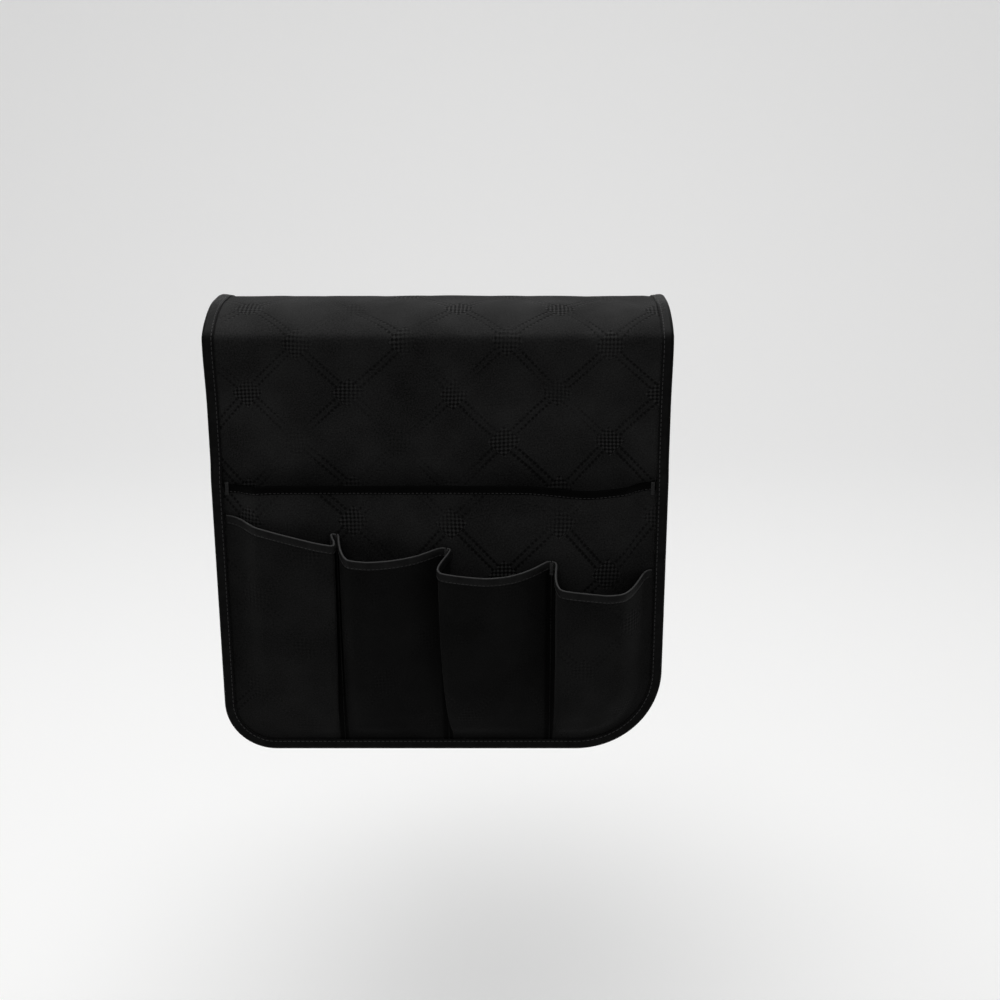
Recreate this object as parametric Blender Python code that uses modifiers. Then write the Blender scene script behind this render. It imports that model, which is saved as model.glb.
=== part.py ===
"""Sofa armrest organiser: a padded cloth saddle over an arm, a pocketed front, a tail and a tuck flap."""

from math import atan2, cos, hypot, pi, radians, sin

import bmesh
import bpy
from mathutils import Vector

# Driving sizes, in metres. The front faces -Y, the saddle's underside is at z = 0.
WIDTH = 0.330
ARM_WIDTH = 0.100
FRONT_LENGTH = 0.314
TAIL_LENGTH = 0.180
FLAP_LENGTH = 0.245

# Saddle section: a flat middle, a crowned slope each way, then a tight shoulder.
PLATEAU = 0.016
CROWN_TURN = radians(24)
SHOULDER_RADIUS = 0.0105
TUCK_RADIUS = 0.006

# Cloth layers, from the underside out, and the clearance that touching cloths keep.
BACKING = 0.0006
FIELD_PROUD = 0.0002
WADDING = 0.0016
FACE = 0.0006
CLEARANCE = 0.0003
JOIN_GAP = 0.0003

# Edge binding: one folded tape all round.
BINDING_TAPE = 0.0006
BINDING_WIDTH = 0.0085
BINDING_ROUND = 0.0008

# Rounded ends of the front and of the flap.
FRONT_CORNER_LEFT = 0.038
FRONT_CORNER_RIGHT = 0.064
FLAP_CORNER = 0.030

# Magazine pocket: one panel across the front, caught in the binding at its sides and foot.
POCKET_CLOTH = 0.0008
MAGAZINE_HEIGHT = 0.213
MAGAZINE_BULGE = 0.011
MAGAZINE_RISE = 0.026
MAGAZINE_SAG = 0.0025
MOUTH_TAPE = 0.00035
MOUTH_TAPE_GAP = 0.00025
MAGAZINE_TAPE_WIDTH = 0.0075

# Small pockets: their mouths lie on one slanting line, this far below the magazine pocket's.
POCKET_DROP_LEFT = 0.024
POCKET_DROP_RIGHT = 0.069
POCKET_BULGE = 0.020
POCKET_SAG = 0.015
POCKET_TAPE_WIDTH = 0.0055
POCKET_RISE = 0.012
SEAM_ALLOWANCE = 0.0004
SEAM_SHARES = (0.274, 0.514, 0.745)

# Each small pocket: its shares of the bulge and of the sag, and its section at the mouth, as
# shares of its width and of its own bulge, from its left seam to its right.
SMALL_POCKETS = (
    {
        "name": "small_pocket_1",
        "bulge_share": 0.78,
        "sag_share": 0.22,
        "section_shares": (
            (0.0, 0.0), (0.08, 0.0), (0.14, 0.0), (0.25, 0.12), (0.46, 0.50), (0.72, 0.84),
            (0.92, 1.06), (1.01, 1.08), (0.995, 0.60), (0.96, 0.15), (0.965, 0.0), (1.0, 0.0),
        ),
    },
    {
        "name": "small_pocket_2",
        "bulge_share": 0.94,
        "sag_share": 0.78,
        "section_shares": (
            (0.0, 0.0), (0.035, 0.0), (0.045, 0.15), (0.05, 0.60), (0.085, 1.10), (0.22, 1.06),
            (0.48, 0.86), (0.74, 0.48), (0.90, 0.08), (0.96, 0.0), (1.0, 0.0),
        ),
    },
    {
        "name": "small_pocket_3",
        "bulge_share": 1.0,
        "sag_share": 0.83,
        "section_shares": (
            (0.0, 0.0), (0.05, 0.0), (0.04, 0.16), (-0.03, 0.55), (-0.07, 1.02), (0.10, 1.10),
            (0.36, 1.02), (0.62, 0.78), (0.84, 0.30), (0.95, 0.0), (1.0, 0.0),
        ),
    },
    {
        "name": "small_pocket_4",
        "bulge_share": 1.0,
        "sag_share": 0.91,
        "section_shares": (
            (0.0, 0.0), (0.035, 0.0), (0.04, 0.16), (0.02, 0.62), (0.06, 1.12), (0.24, 1.08),
            (0.50, 1.02), (0.70, 0.78), (0.80, 0.20), (0.86, 0.0), (0.92, 0.0), (1.0, 0.0),
        ),
    },
)

# Bar tacks: blocks of thread that lock the mouths to what lies behind them.
TACK_LENGTH = 0.009
TACK_WIDTH = 0.0022
TACK_THICKNESS = 0.0009
TACK_ROUND = 0.0003

# Joining the backing's field to its pinched edge.
FIELD_OVERLAP = 0.0001
WELD = 0.000001

# How finely curves and cloths are divided.
CROWN_STEPS = 8
SHOULDER_STEPS = 6
CORNER_STEPS = 8
LEG_STEPS = 8
MAGAZINE_COLUMNS = 29
MAGAZINE_ROWS = 11
POCKET_COLUMNS = 22
POCKET_ROWS = 12

# Powers that shape the pockets: how quickly one fills above its foot, and how rows crowd low down.
FULLNESS_SHARE = 0.8
ROW_SHARE = 1.35

# Worked out from the sizes above.
HALF_WIDTH = WIDTH / 2
HALF_ARM = ARM_WIDTH / 2
BINDING_REACH = CLEARANCE + BINDING_TAPE
PANEL_INSET = BINDING_REACH
BACKING_FOOT = BINDING_REACH + FIELD_PROUD
BACKING_TOP = BACKING_FOOT + BACKING
WADDING_FOOT = BACKING_TOP + CLEARANCE
WADDING_TOP = WADDING_FOOT + WADDING
FACE_FOOT = WADDING_TOP + CLEARANCE
FACE_TOP = FACE_FOOT + FACE
FIELD_INSET = BINDING_WIDTH + CLEARANCE
OUTER = FACE_TOP + BINDING_REACH
TAPE_ROOM = 2 * MOUTH_TAPE_GAP + MOUTH_TAPE
CROWN_RADIUS = (
    HALF_ARM - PLATEAU / 2 - SHOULDER_RADIUS * (1 - sin(CROWN_TURN))
) / sin(CROWN_TURN)
JOIN_Z = -CROWN_RADIUS * (1 - cos(CROWN_TURN)) - SHOULDER_RADIUS * cos(CROWN_TURN)
HANG_Z = JOIN_Z - JOIN_GAP
FRONT_FOOT_Z = HANG_Z - FRONT_LENGTH
TUCK_Z = HANG_Z - TAIL_LENGTH
TUCK_TURN_RADIUS = TUCK_RADIUS + OUTER
FLAP_Y = HALF_ARM + TUCK_TURN_RADIUS + JOIN_GAP
FLAP_Z = TUCK_Z - TUCK_TURN_RADIUS
POCKET_MOUTH_LEFT = MAGAZINE_HEIGHT - POCKET_DROP_LEFT
POCKET_MOUTH_RIGHT = MAGAZINE_HEIGHT - POCKET_DROP_RIGHT
SEAMS = tuple(share * WIDTH - HALF_WIDTH for share in SEAM_SHARES)

COLOURS = {
    "face": ((0.012, 0.012, 0.013, 1.0), 0.72),
    "wadding": ((0.55, 0.55, 0.55, 1.0), 0.95),
    "backing": ((0.020, 0.020, 0.021, 1.0), 0.85),
    "binding": ((0.005, 0.005, 0.006, 1.0), 0.50),
    "pocket": ((0.008, 0.008, 0.009, 1.0), 0.70),
    "thread": ((0.010, 0.010, 0.011, 1.0), 0.45),
}

for old in list(bpy.data.objects):
    bpy.data.objects.remove(old, do_unlink=True)

organiser = bpy.data.collections.new("sofa_armrest_organiser")
helpers = bpy.data.collections.new("helpers")
for collection in (organiser, helpers):
    bpy.context.scene.collection.children.link(collection)


def material(name):
    """One Principled material for each kind of cloth, made the first time that it is asked for."""
    found = bpy.data.materials.get(name)
    if found:
        return found
    colour, roughness = COLOURS[name]
    made = bpy.data.materials.new(name)
    made.use_nodes = True
    shader = made.node_tree.nodes["Principled BSDF"]
    shader.inputs["Base Color"].default_value = colour
    shader.inputs["Roughness"].default_value = roughness
    shader.inputs["Metallic"].default_value = 0.0
    return made


def hinge(name, y, z, parent=None):
    """An empty on a fold line, which runs along X."""
    empty = bpy.data.objects.new(name, None)
    empty.location = (0, y, z)
    organiser.objects.link(empty)
    bpy.context.view_layer.update()
    if parent:
        attach(empty, parent)
    return empty


def attach(piece, carrier):
    """Parents a piece and leaves it where it is."""
    bpy.context.view_layer.update()
    piece.parent = carrier
    piece.matrix_parent_inverse = carrier.matrix_world.inverted()


def add_piece(name, data, kind, carrier):
    piece = bpy.data.objects.new(name, data)
    organiser.objects.link(piece)
    data.materials.append(material(kind))
    attach(piece, carrier)
    return piece


def flat_piece(name, points, thickness, location, rotation, kind, carrier):
    """A flat outline with thickness, centred on its own plane."""
    outline = bpy.data.curves.new(name, "CURVE")
    outline.dimensions = "2D"
    outline.fill_mode = "BOTH"
    outline.extrude = thickness / 2
    spline = outline.splines.new("POLY")
    spline.points.add(len(points) - 1)
    for point, (x, y) in zip(spline.points, points):
        point.co = (x, y, 0, 1)
    spline.use_cyclic_u = True
    piece = add_piece(name, outline, kind, carrier)
    piece.location = location
    piece.rotation_euler = rotation
    return piece


def as_mesh(outline, carrier):
    """The same piece as a mesh with its caps welded on, so that another can be joined to it."""
    bpy.context.view_layer.update()
    graph = bpy.context.evaluated_depsgraph_get()
    mesh = bpy.data.meshes.new_from_object(outline.evaluated_get(graph))
    shape = bmesh.new()
    shape.from_mesh(mesh)
    bmesh.ops.remove_doubles(shape, verts=shape.verts, dist=WELD)
    shape.to_mesh(mesh)
    shape.free()
    name, matrix = outline.name, outline.matrix_world.copy()
    bpy.data.objects.remove(outline, do_unlink=True)
    piece = bpy.data.objects.new(name, mesh)
    organiser.objects.link(piece)
    attach(piece, carrier)
    piece.matrix_world = matrix
    return piece


def cloth_piece(name, columns, rows, place, thickness, kind, carrier):
    """A grid laid out by place(column, row), thickened evenly about itself."""
    shape = bmesh.new()
    bmesh.ops.create_grid(shape, x_segments=columns - 1, y_segments=rows - 1, size=1)
    for vertex in shape.verts:
        column = round((vertex.co.x + 1) / 2 * (columns - 1))
        row = round((vertex.co.y + 1) / 2 * (rows - 1))
        vertex.co = place(column, row)
    mesh = bpy.data.meshes.new(name)
    shape.to_mesh(mesh)
    shape.free()
    mesh.shade_smooth()
    piece = add_piece(name, mesh, kind, carrier)
    thicken = piece.modifiers.new("thickness", "SOLIDIFY")
    thicken.thickness = thickness
    thicken.offset = 0
    return piece


def ease(share):
    """A share from 0 to 1, eased at both ends."""
    share = min(1, max(0, share))
    return share * share * (3 - 2 * share)


def blend(low, high, share):
    return low + (high - low) * share


def half_saddle():
    """Stations from the crown to the rear shoulder: a place on the underside and the way out."""
    stations = [(0, 0, 0, 1)]
    for step in range(CROWN_STEPS + 1):
        turn = CROWN_TURN * step / CROWN_STEPS
        stations.append(
            (
                PLATEAU / 2 + CROWN_RADIUS * sin(turn),
                CROWN_RADIUS * (cos(turn) - 1),
                sin(turn),
                cos(turn),
            )
        )
    centre_y = HALF_ARM - SHOULDER_RADIUS
    for step in range(1, SHOULDER_STEPS + 1):
        turn = blend(CROWN_TURN, pi / 2, step / SHOULDER_STEPS)
        stations.append(
            (
                centre_y + SHOULDER_RADIUS * sin(turn),
                JOIN_Z + SHOULDER_RADIUS * cos(turn),
                sin(turn),
                cos(turn),
            )
        )
    return stations


def saddle_stations():
    rear = half_saddle()
    front = [(-y, z, -out_y, out_z) for y, z, out_y, out_z in reversed(rear[1:])]
    return front + rear


def tail_stations():
    """Down the arm's inner side, then round the tuck until level."""
    stations = [(HALF_ARM, HANG_Z, 1, 0)]
    centre_y = HALF_ARM + TUCK_TURN_RADIUS
    for step in range(SHOULDER_STEPS + 1):
        turn = pi / 2 * step / SHOULDER_STEPS
        stations.append(
            (
                centre_y - TUCK_TURN_RADIUS * cos(turn),
                TUCK_Z - TUCK_TURN_RADIUS * sin(turn),
                cos(turn),
                sin(turn),
            )
        )
    return stations


def bent_layer(name, stations, foot, top, inset, kind, carrier):
    """One cloth of a bent panel: its section runs along the stations, and its width along X."""
    under = [(y + out_y * foot, z + out_z * foot) for y, z, out_y, out_z in stations]
    over = [(y + out_y * top, z + out_z * top) for y, z, out_y, out_z in stations]
    return flat_piece(
        name,
        under + over[::-1],
        2 * (HALF_WIDTH - inset),
        (0, 0, 0),
        (pi / 2, 0, pi / 2),
        kind,
        carrier,
    )


def tape_profile(top):
    """The folded tape's section: how far in from the edge and how far out from the underside."""
    near = BINDING_TAPE / 2
    foot = BACKING_FOOT - CLEARANCE - near
    return (
        (BINDING_WIDTH, top),
        (near + BINDING_ROUND, top),
        (near, top - BINDING_ROUND),
        (near, foot + BINDING_ROUND),
        (near + BINDING_ROUND, foot),
        (BINDING_WIDTH, foot),
    )


PANEL_TAPE_TOP = FACE_TOP + CLEARANCE + BINDING_TAPE / 2


def bent_binding(name, stations, side, carrier):
    """Binding along one side of a bent panel. Side is -1 at the left and 1 at the right."""
    profile = tape_profile(PANEL_TAPE_TOP)

    def place(column, row):
        y, z, out_y, out_z = stations[column]
        inset, out = profile[row]
        return Vector((side * (HALF_WIDTH - inset), y + out_y * out, z + out_z * out))

    return cloth_piece(
        name, len(stations), len(profile), place, BINDING_TAPE, "binding", carrier
    )


def edge_stations(length, radius_left, radius_right):
    """Down the left edge, round both corners and up the right: across, along and the way in."""
    stations = []
    for step in range(LEG_STEPS):
        along = (length - radius_left) * step / LEG_STEPS
        stations.append((-HALF_WIDTH, along, 1, 0))
    for step in range(CORNER_STEPS + 1):
        turn = pi / 2 * step / CORNER_STEPS
        stations.append(
            (
                -HALF_WIDTH + radius_left * (1 - cos(turn)),
                length - radius_left * (1 - sin(turn)),
                cos(turn),
                -sin(turn),
            )
        )
    for step in range(CORNER_STEPS, -1, -1):
        turn = pi / 2 * step / CORNER_STEPS
        stations.append(
            (
                HALF_WIDTH - radius_right * (1 - cos(turn)),
                length - radius_right * (1 - sin(turn)),
                -cos(turn),
                -sin(turn),
            )
        )
    for step in range(LEG_STEPS - 1, -1, -1):
        along = (length - radius_right) * step / LEG_STEPS
        stations.append((HALF_WIDTH, along, -1, 0))
    return stations


def inset_outline(stations, inset):
    """The panel's outline inside its binding, as points across and along."""
    return [
        (across + in_across * inset, along + in_along * inset)
        for across, along, in_across, in_along in stations
    ]


front_stations = edge_stations(FRONT_LENGTH, FRONT_CORNER_LEFT, FRONT_CORNER_RIGHT)
flap_stations = edge_stations(FLAP_LENGTH, FLAP_CORNER, FLAP_CORNER)


def front_layer(name, foot, top, inset, kind, carrier):
    """One flat cloth of the hanging front."""
    points = [(x, -along) for x, along in inset_outline(front_stations, inset)]
    return flat_piece(
        name,
        points,
        top - foot,
        (0, -HALF_ARM - (foot + top) / 2, HANG_Z),
        (pi / 2, 0, 0),
        kind,
        carrier,
    )


def flap_layer(name, foot, top, inset, kind, carrier):
    """One flat cloth of the tuck flap."""
    return flat_piece(
        name,
        inset_outline(flap_stations, inset),
        top - foot,
        (0, FLAP_Y, FLAP_Z + (foot + top) / 2),
        (0, 0, 0),
        kind,
        carrier,
    )


def magazine_share(height):
    return min(1, max(0, height / MAGAZINE_HEIGHT))


def layer_room(height):
    """Room behind a pocket cloth: a clearance at the foot, and the mouth tape's leg at the mouth."""
    return blend(CLEARANCE, TAPE_ROOM, magazine_share(height))


def edge_distance(x, height):
    """How far inside the front's rounded outline a place lies."""
    radius = FRONT_CORNER_LEFT if x < 0 else FRONT_CORNER_RIGHT
    side = HALF_WIDTH - abs(x)
    if side < radius and height < radius:
        return radius - hypot(radius - side, radius - height)
    return min(side, height)


def free_of_binding(x, height, rise):
    """Nothing under the edge binding, all of it once a rise's length clear of it."""
    return ease((edge_distance(x, height) - BINDING_WIDTH) / rise)


def fullness(height, top):
    """How full a pocket stands at a height, from flat at the binding to all of it at the mouth."""
    share = max(0, height - BINDING_WIDTH) / (top - BINDING_WIDTH)
    return sin(pi / 2 * min(1, share)) ** FULLNESS_SHARE


def magazine_bulge(x, height):
    """How far the magazine pocket stands off the front, level across its middle."""
    side = ease((HALF_WIDTH - BINDING_WIDTH - abs(x)) / MAGAZINE_RISE)
    free = free_of_binding(x, height, MAGAZINE_RISE)
    return MAGAZINE_BULGE * side * free * fullness(height, MAGAZINE_HEIGHT)


def magazine_out(x, height):
    """The middle of the magazine pocket's cloth, out from the front's underside."""
    return FACE_TOP + layer_room(height) + POCKET_CLOTH / 2 + magazine_bulge(x, height)


def pocket_base_out(x, height):
    """The middle of a small pocket's cloth where it lies on the magazine pocket."""
    return magazine_out(x, height) + POCKET_CLOTH + layer_room(height)


def mouth_line(x):
    """Height of the small pockets' mouths above the front's foot, before they dip."""
    share = (x + HALF_WIDTH) / WIDTH
    return blend(POCKET_MOUTH_LEFT, POCKET_MOUTH_RIGHT, share)


def stack_tape_top(height):
    """How far out the binding lies beside the pockets, easing to the bare panel above them."""
    height = min(height, MAGAZINE_HEIGHT + 2 * BINDING_WIDTH)
    stack = FACE_TOP + 2 * (layer_room(height) + POCKET_CLOTH)
    beside = stack + 2 * CLEARANCE + BINDING_TAPE / 2
    above = ease((height - MAGAZINE_HEIGHT) / (2 * BINDING_WIDTH))
    return blend(beside, PANEL_TAPE_TOP, above)


def edge_limits(height, inset):
    """The front's left and right edges at a height above its foot, inset by a binding's worth."""

    def reach(radius):
        rounded = radius - inset
        drop = max(0, radius - height)
        return HALF_WIDTH - radius + max(0, rounded**2 - min(drop, rounded) ** 2) ** 0.5

    return -reach(FRONT_CORNER_LEFT), reach(FRONT_CORNER_RIGHT)


def front_point(x, out, height):
    return Vector((x, -HALF_ARM - out, FRONT_FOOT_Z + height))


def front_binding(carrier):
    def place(column, row):
        across, along, in_across, in_along = front_stations[column]
        inset, out = tape_profile(stack_tape_top(FRONT_LENGTH - along))[row]
        return front_point(
            across + in_across * inset, out, FRONT_LENGTH - along - in_along * inset
        )

    columns, rows = len(front_stations), len(tape_profile(PANEL_TAPE_TOP))
    return cloth_piece(
        "front_binding", columns, rows, place, BINDING_TAPE, "binding", carrier
    )


def flap_binding(carrier):
    profile = tape_profile(PANEL_TAPE_TOP)

    def place(column, row):
        across, along, in_across, in_along = flap_stations[column]
        inset, out = profile[row]
        return Vector(
            (across + in_across * inset, FLAP_Y + along + in_along * inset, FLAP_Z + out)
        )

    columns, rows = len(flap_stations), len(profile)
    return cloth_piece(
        "flap_binding", columns, rows, place, BINDING_TAPE, "binding", carrier
    )


def magazine_mouth(x):
    """The magazine pocket's mouth sags a little between its ends."""
    return MAGAZINE_HEIGHT - MAGAZINE_SAG * (1 - (x / HALF_WIDTH) ** 2)


def row_height(row, rows, top):
    """One row under the foot binding, the next at its lip, the rest closer together low down."""
    if row == 0:
        return PANEL_INSET
    share = ((row - 1) / (rows - 2)) ** ROW_SHARE
    return blend(BINDING_WIDTH + CLEARANCE, top, share)


def magazine_x(column, left, right):
    """Columns at the edges, just clear of the binding, and between those closer at the sides."""
    last = MAGAZINE_COLUMNS - 1
    if column in (0, last):
        return right if column else left
    lip = (BINDING_WIDTH + BINDING_REACH) / WIDTH
    share = (1 - cos(pi * (column - 1) / (last - 2))) / 2
    return blend(left, right, blend(lip, 1 - lip, share))


def magazine_point(column, row):
    """A place on the middle of the magazine pocket's cloth."""
    left, right = edge_limits(row_height(row, MAGAZINE_ROWS, MAGAZINE_HEIGHT), PANEL_INSET)
    x = magazine_x(column, left, right)
    height = row_height(row, MAGAZINE_ROWS, magazine_mouth(x))
    return front_point(x, magazine_out(x, height), height)


def smooth_section(points, count):
    """Even steps along a cubic B-spline that starts and ends on the first and last point."""
    points = [points[0]] * 2 + list(points) + [points[-1]] * 2
    spans = len(points) - 3
    made = []
    for step in range(count):
        place = spans * step / (count - 1)
        span = min(int(place), spans - 1)
        t = place - span
        weights = (
            (1 - t) ** 3 / 6,
            (3 * t**3 - 6 * t**2 + 4) / 6,
            (-3 * t**3 + 3 * t**2 + 3 * t + 1) / 6,
            t**3 / 6,
        )
        made.append(
            tuple(
                sum(weight * points[span + i][axis] for i, weight in enumerate(weights))
                for axis in range(2)
            )
        )
    return made


class PocketShape:
    """One small pocket's cloth, as places given by a column and a share of its height."""

    def __init__(self, pocket, index):
        self.left = SEAMS[index - 1] + SEAM_ALLOWANCE if index else None
        self.right = SEAMS[index] - SEAM_ALLOWANCE if index < len(SEAMS) else None
        self.bulge = POCKET_BULGE * pocket["bulge_share"]
        self.sag = POCKET_SAG * pocket["sag_share"]
        self.section = smooth_section(pocket["section_shares"], POCKET_COLUMNS)
        self.even = self.even_shares()

    def even_shares(self):
        """The raised columns spread by their length along the cloth, for the foot. The rest stay."""
        width = WIDTH / (len(SEAMS) + 1)
        raised = [column for column, (_, out) in enumerate(self.section) if out > 0]
        first, last = raised[0] - 1, raised[-1] + 1
        lengths = [0]
        for start, end in zip(self.section[first:last], self.section[first + 1 : last + 1]):
            step = hypot((end[0] - start[0]) * width, (end[1] - start[1]) * self.bulge)
            lengths.append(lengths[-1] + step)
        low, high = self.section[first][0], self.section[last][0]
        shares = [across for across, _ in self.section]
        shares[first : last + 1] = [
            blend(low, high, length / lengths[-1]) for length in lengths
        ]
        return shares

    def limits(self, height):
        """The cloth's left and right edges at a height: a seam, or the front's own edge."""
        left, right = edge_limits(height, PANEL_INSET)
        return (
            left if self.left is None else self.left,
            right if self.right is None else self.right,
        )

    def top(self, column):
        """The mouth's height at a column."""
        across, out = self.section[column]
        left, right = self.limits(POCKET_MOUTH_RIGHT)
        return mouth_line(blend(left, right, across)) - self.sag * min(1, out)

    def grid_place(self, column, row):
        return self.at(column, row_height(row, POCKET_ROWS, self.top(column)))

    def at(self, column, height):
        """The middle of the cloth at a column and a height."""
        across, out = self.section[column]
        full = fullness(height, self.top(column))
        left, right = self.limits(height)
        x = blend(left, right, blend(self.even[column], across, full))
        stand_out = self.bulge * full * out * free_of_binding(x, height, POCKET_RISE)
        return front_point(x, pocket_base_out(x, height) + stand_out, height)


def mouth_tape(name, columns, edge_place, width, cloth, carrier):
    """A narrow tape folded over a mouth: edge_place(column, drop) is the cloth's middle there."""
    reach = cloth / 2 + MOUTH_TAPE_GAP + MOUTH_TAPE / 2
    last = columns - 1

    def outward(column):
        before = edge_place(max(0, column - 1), 0)
        after = edge_place(min(last, column + 1), 0)
        along = after - before
        down = edge_place(column, width) - edge_place(column, 0)
        return down.cross(along).normalized()

    def place(column, row):
        out = outward(column)
        lip = edge_place(column, 0)
        foot = edge_place(column, width)
        up = (lip - foot).normalized()
        steps = (
            foot + out * reach,
            lip + out * reach,
            lip + out * reach / 2 + up * reach,
            lip - out * reach / 2 + up * reach,
            lip - out * reach,
            foot - out * reach,
        )
        return steps[row]

    return cloth_piece(name, columns, 6, place, MOUTH_TAPE, "binding", carrier)


def magazine_tape(carrier):
    """The tape over the magazine pocket's mouth, between the two legs of the edge binding."""
    reach = HALF_WIDTH - PANEL_INSET

    def edge_place(column, drop):
        x = magazine_x(column + 1, -reach, reach)
        height = magazine_mouth(x) - drop
        return front_point(x, magazine_out(x, height), height)

    return mouth_tape(
        "magazine_pocket_mouth_tape",
        MAGAZINE_COLUMNS - 2,
        edge_place,
        MAGAZINE_TAPE_WIDTH,
        POCKET_CLOTH,
        carrier,
    )


def small_pocket_tape(pocket, shape, carrier):
    """The tape over one small pocket's mouth, clear of the edge binding at an outer pocket's side."""
    first, last = tape_columns(shape)

    def edge_place(column, drop):
        return shape.at(first + column, shape.top(first + column) - drop)

    return mouth_tape(
        pocket["name"] + "_mouth_tape",
        last - first + 1,
        edge_place,
        POCKET_TAPE_WIDTH,
        POCKET_CLOTH,
        carrier,
    )


def tape_columns(shape):
    """The first and last columns of a pocket's mouth that lie clear of the edge binding."""
    limit = HALF_WIDTH - BINDING_WIDTH - BINDING_REACH
    clear = [
        column
        for column in range(POCKET_COLUMNS)
        if abs(shape.at(column, shape.top(column)).x) <= limit
    ]
    return clear[0], clear[-1]


def bar_tack(name, x, height, out, carrier):
    """A block of thread standing upright on the cloth, leaning as the cloth does."""
    mesh = bpy.data.meshes.new(name)
    shape = bmesh.new()
    bmesh.ops.create_cube(shape, size=1)
    for vertex in shape.verts:
        vertex.co.x *= TACK_WIDTH
        vertex.co.y *= TACK_THICKNESS
        vertex.co.z *= TACK_LENGTH
    shape.to_mesh(mesh)
    shape.free()
    piece = add_piece(name, mesh, "thread", carrier)
    half = TACK_LENGTH / 2
    rise = magazine_out(x, height + half) - magazine_out(x, height - half)
    piece.location = front_point(x, out + CLEARANCE + TACK_THICKNESS / 2, height)
    piece.rotation_euler = (atan2(rise, TACK_LENGTH), 0, 0)
    rounded = piece.modifiers.new("rounded", "BEVEL")
    rounded.width = TACK_ROUND
    rounded.segments = 2
    return piece


saddle = hinge("saddle_frame", 0, 0)
front = hinge("front_fold", -HALF_ARM - OUTER, JOIN_Z - JOIN_GAP / 2, saddle)
tail = hinge("tail_fold", HALF_ARM + OUTER, JOIN_Z - JOIN_GAP / 2, saddle)
flap = hinge("flap_fold", FLAP_Y - JOIN_GAP / 2, FLAP_Z, tail)


def saddle_layer(*sizes):
    return bent_layer(sizes[0], saddle_stations(), *sizes[1:])


def tail_layer(*sizes):
    return bent_layer(sizes[0], tail_stations(), *sizes[1:])


def grip_backing(name, make_layer, carrier):
    """The backing: pinched thin where the binding grips it, thick enough inside to stand proud."""
    pinched = make_layer(name, BACKING_FOOT, BACKING_TOP, PANEL_INSET, "backing", carrier)
    field = make_layer("field", 0, BACKING_TOP - FIELD_OVERLAP, FIELD_INSET, "backing", carrier)
    pinched, field = as_mesh(pinched, carrier), as_mesh(field, carrier)
    join = pinched.modifiers.new("field", "BOOLEAN")
    join.operation = "UNION"
    join.object = field
    organiser.objects.unlink(field)
    helpers.objects.link(field)
    field.hide_render = True
    field.display_type = "WIRE"
    return pinched


PANELS = (
    ("saddle", saddle_layer, saddle),
    ("front", front_layer, front),
    ("tail", tail_layer, tail),
    ("flap", flap_layer, flap),
)
for panel, make_layer, carrier in PANELS:
    grip_backing(panel + "_grip_backing", make_layer, carrier)
    make_layer(
        panel + "_wadding", WADDING_FOOT, WADDING_TOP, PANEL_INSET, "wadding", carrier
    )
    make_layer(panel + "_face_cloth", FACE_FOOT, FACE_TOP, PANEL_INSET, "face", carrier)

for side, word in ((-1, "left"), (1, "right")):
    bent_binding("saddle_binding_" + word, saddle_stations(), side, saddle)
    bent_binding("tail_binding_" + word, tail_stations(), side, tail)
front_binding(front)
flap_binding(flap)

cloth_piece(
    "magazine_pocket_panel",
    MAGAZINE_COLUMNS,
    MAGAZINE_ROWS,
    magazine_point,
    POCKET_CLOTH,
    "face",
    front,
)
magazine_tape(front)

for index, pocket in enumerate(SMALL_POCKETS):
    shape = PocketShape(pocket, index)
    cloth_piece(
        pocket["name"],
        POCKET_COLUMNS,
        POCKET_ROWS,
        shape.grid_place,
        POCKET_CLOTH,
        "pocket",
        front,
    )
    small_pocket_tape(pocket, shape, front)

tape_out = POCKET_CLOTH / 2 + MOUTH_TAPE_GAP + MOUTH_TAPE
for number, seam in enumerate(SEAMS, start=1):
    tack_height = mouth_line(seam) - TACK_LENGTH / 2
    bar_tack(
        f"seam_tack_{number}",
        seam,
        tack_height,
        pocket_base_out(seam, tack_height) + tape_out,
        front,
    )
tack_x = HALF_WIDTH - BINDING_WIDTH - 2 * BINDING_REACH - TACK_WIDTH / 2
tack_height = MAGAZINE_HEIGHT - TACK_LENGTH / 2
for side, word in ((-1, "left"), (1, "right")):
    bar_tack(
        f"magazine_tack_{word}",
        side * tack_x,
        tack_height,
        magazine_out(tack_x, tack_height) + tape_out,
        front,
    )
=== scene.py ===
# Looks for the sofa armrest organizer: quilted cloth, pockets, bindings, stitches, stage, light.

from math import cos, pi, radians, sin

import bpy
import numpy as np
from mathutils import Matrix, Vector, noise


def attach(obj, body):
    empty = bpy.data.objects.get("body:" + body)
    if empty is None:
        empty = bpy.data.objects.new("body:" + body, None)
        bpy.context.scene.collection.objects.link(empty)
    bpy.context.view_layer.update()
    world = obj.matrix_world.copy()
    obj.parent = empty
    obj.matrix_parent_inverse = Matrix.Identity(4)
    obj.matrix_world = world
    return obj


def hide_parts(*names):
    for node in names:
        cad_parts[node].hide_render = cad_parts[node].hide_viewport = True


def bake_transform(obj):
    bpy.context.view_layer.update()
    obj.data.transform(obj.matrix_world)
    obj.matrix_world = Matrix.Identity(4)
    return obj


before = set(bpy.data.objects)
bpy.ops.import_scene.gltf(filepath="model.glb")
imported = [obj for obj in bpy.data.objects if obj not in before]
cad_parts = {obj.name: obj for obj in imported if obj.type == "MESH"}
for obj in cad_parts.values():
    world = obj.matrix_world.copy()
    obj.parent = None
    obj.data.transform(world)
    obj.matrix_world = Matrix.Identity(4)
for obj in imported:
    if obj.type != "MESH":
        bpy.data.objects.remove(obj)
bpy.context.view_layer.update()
print("frame loaded")

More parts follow.
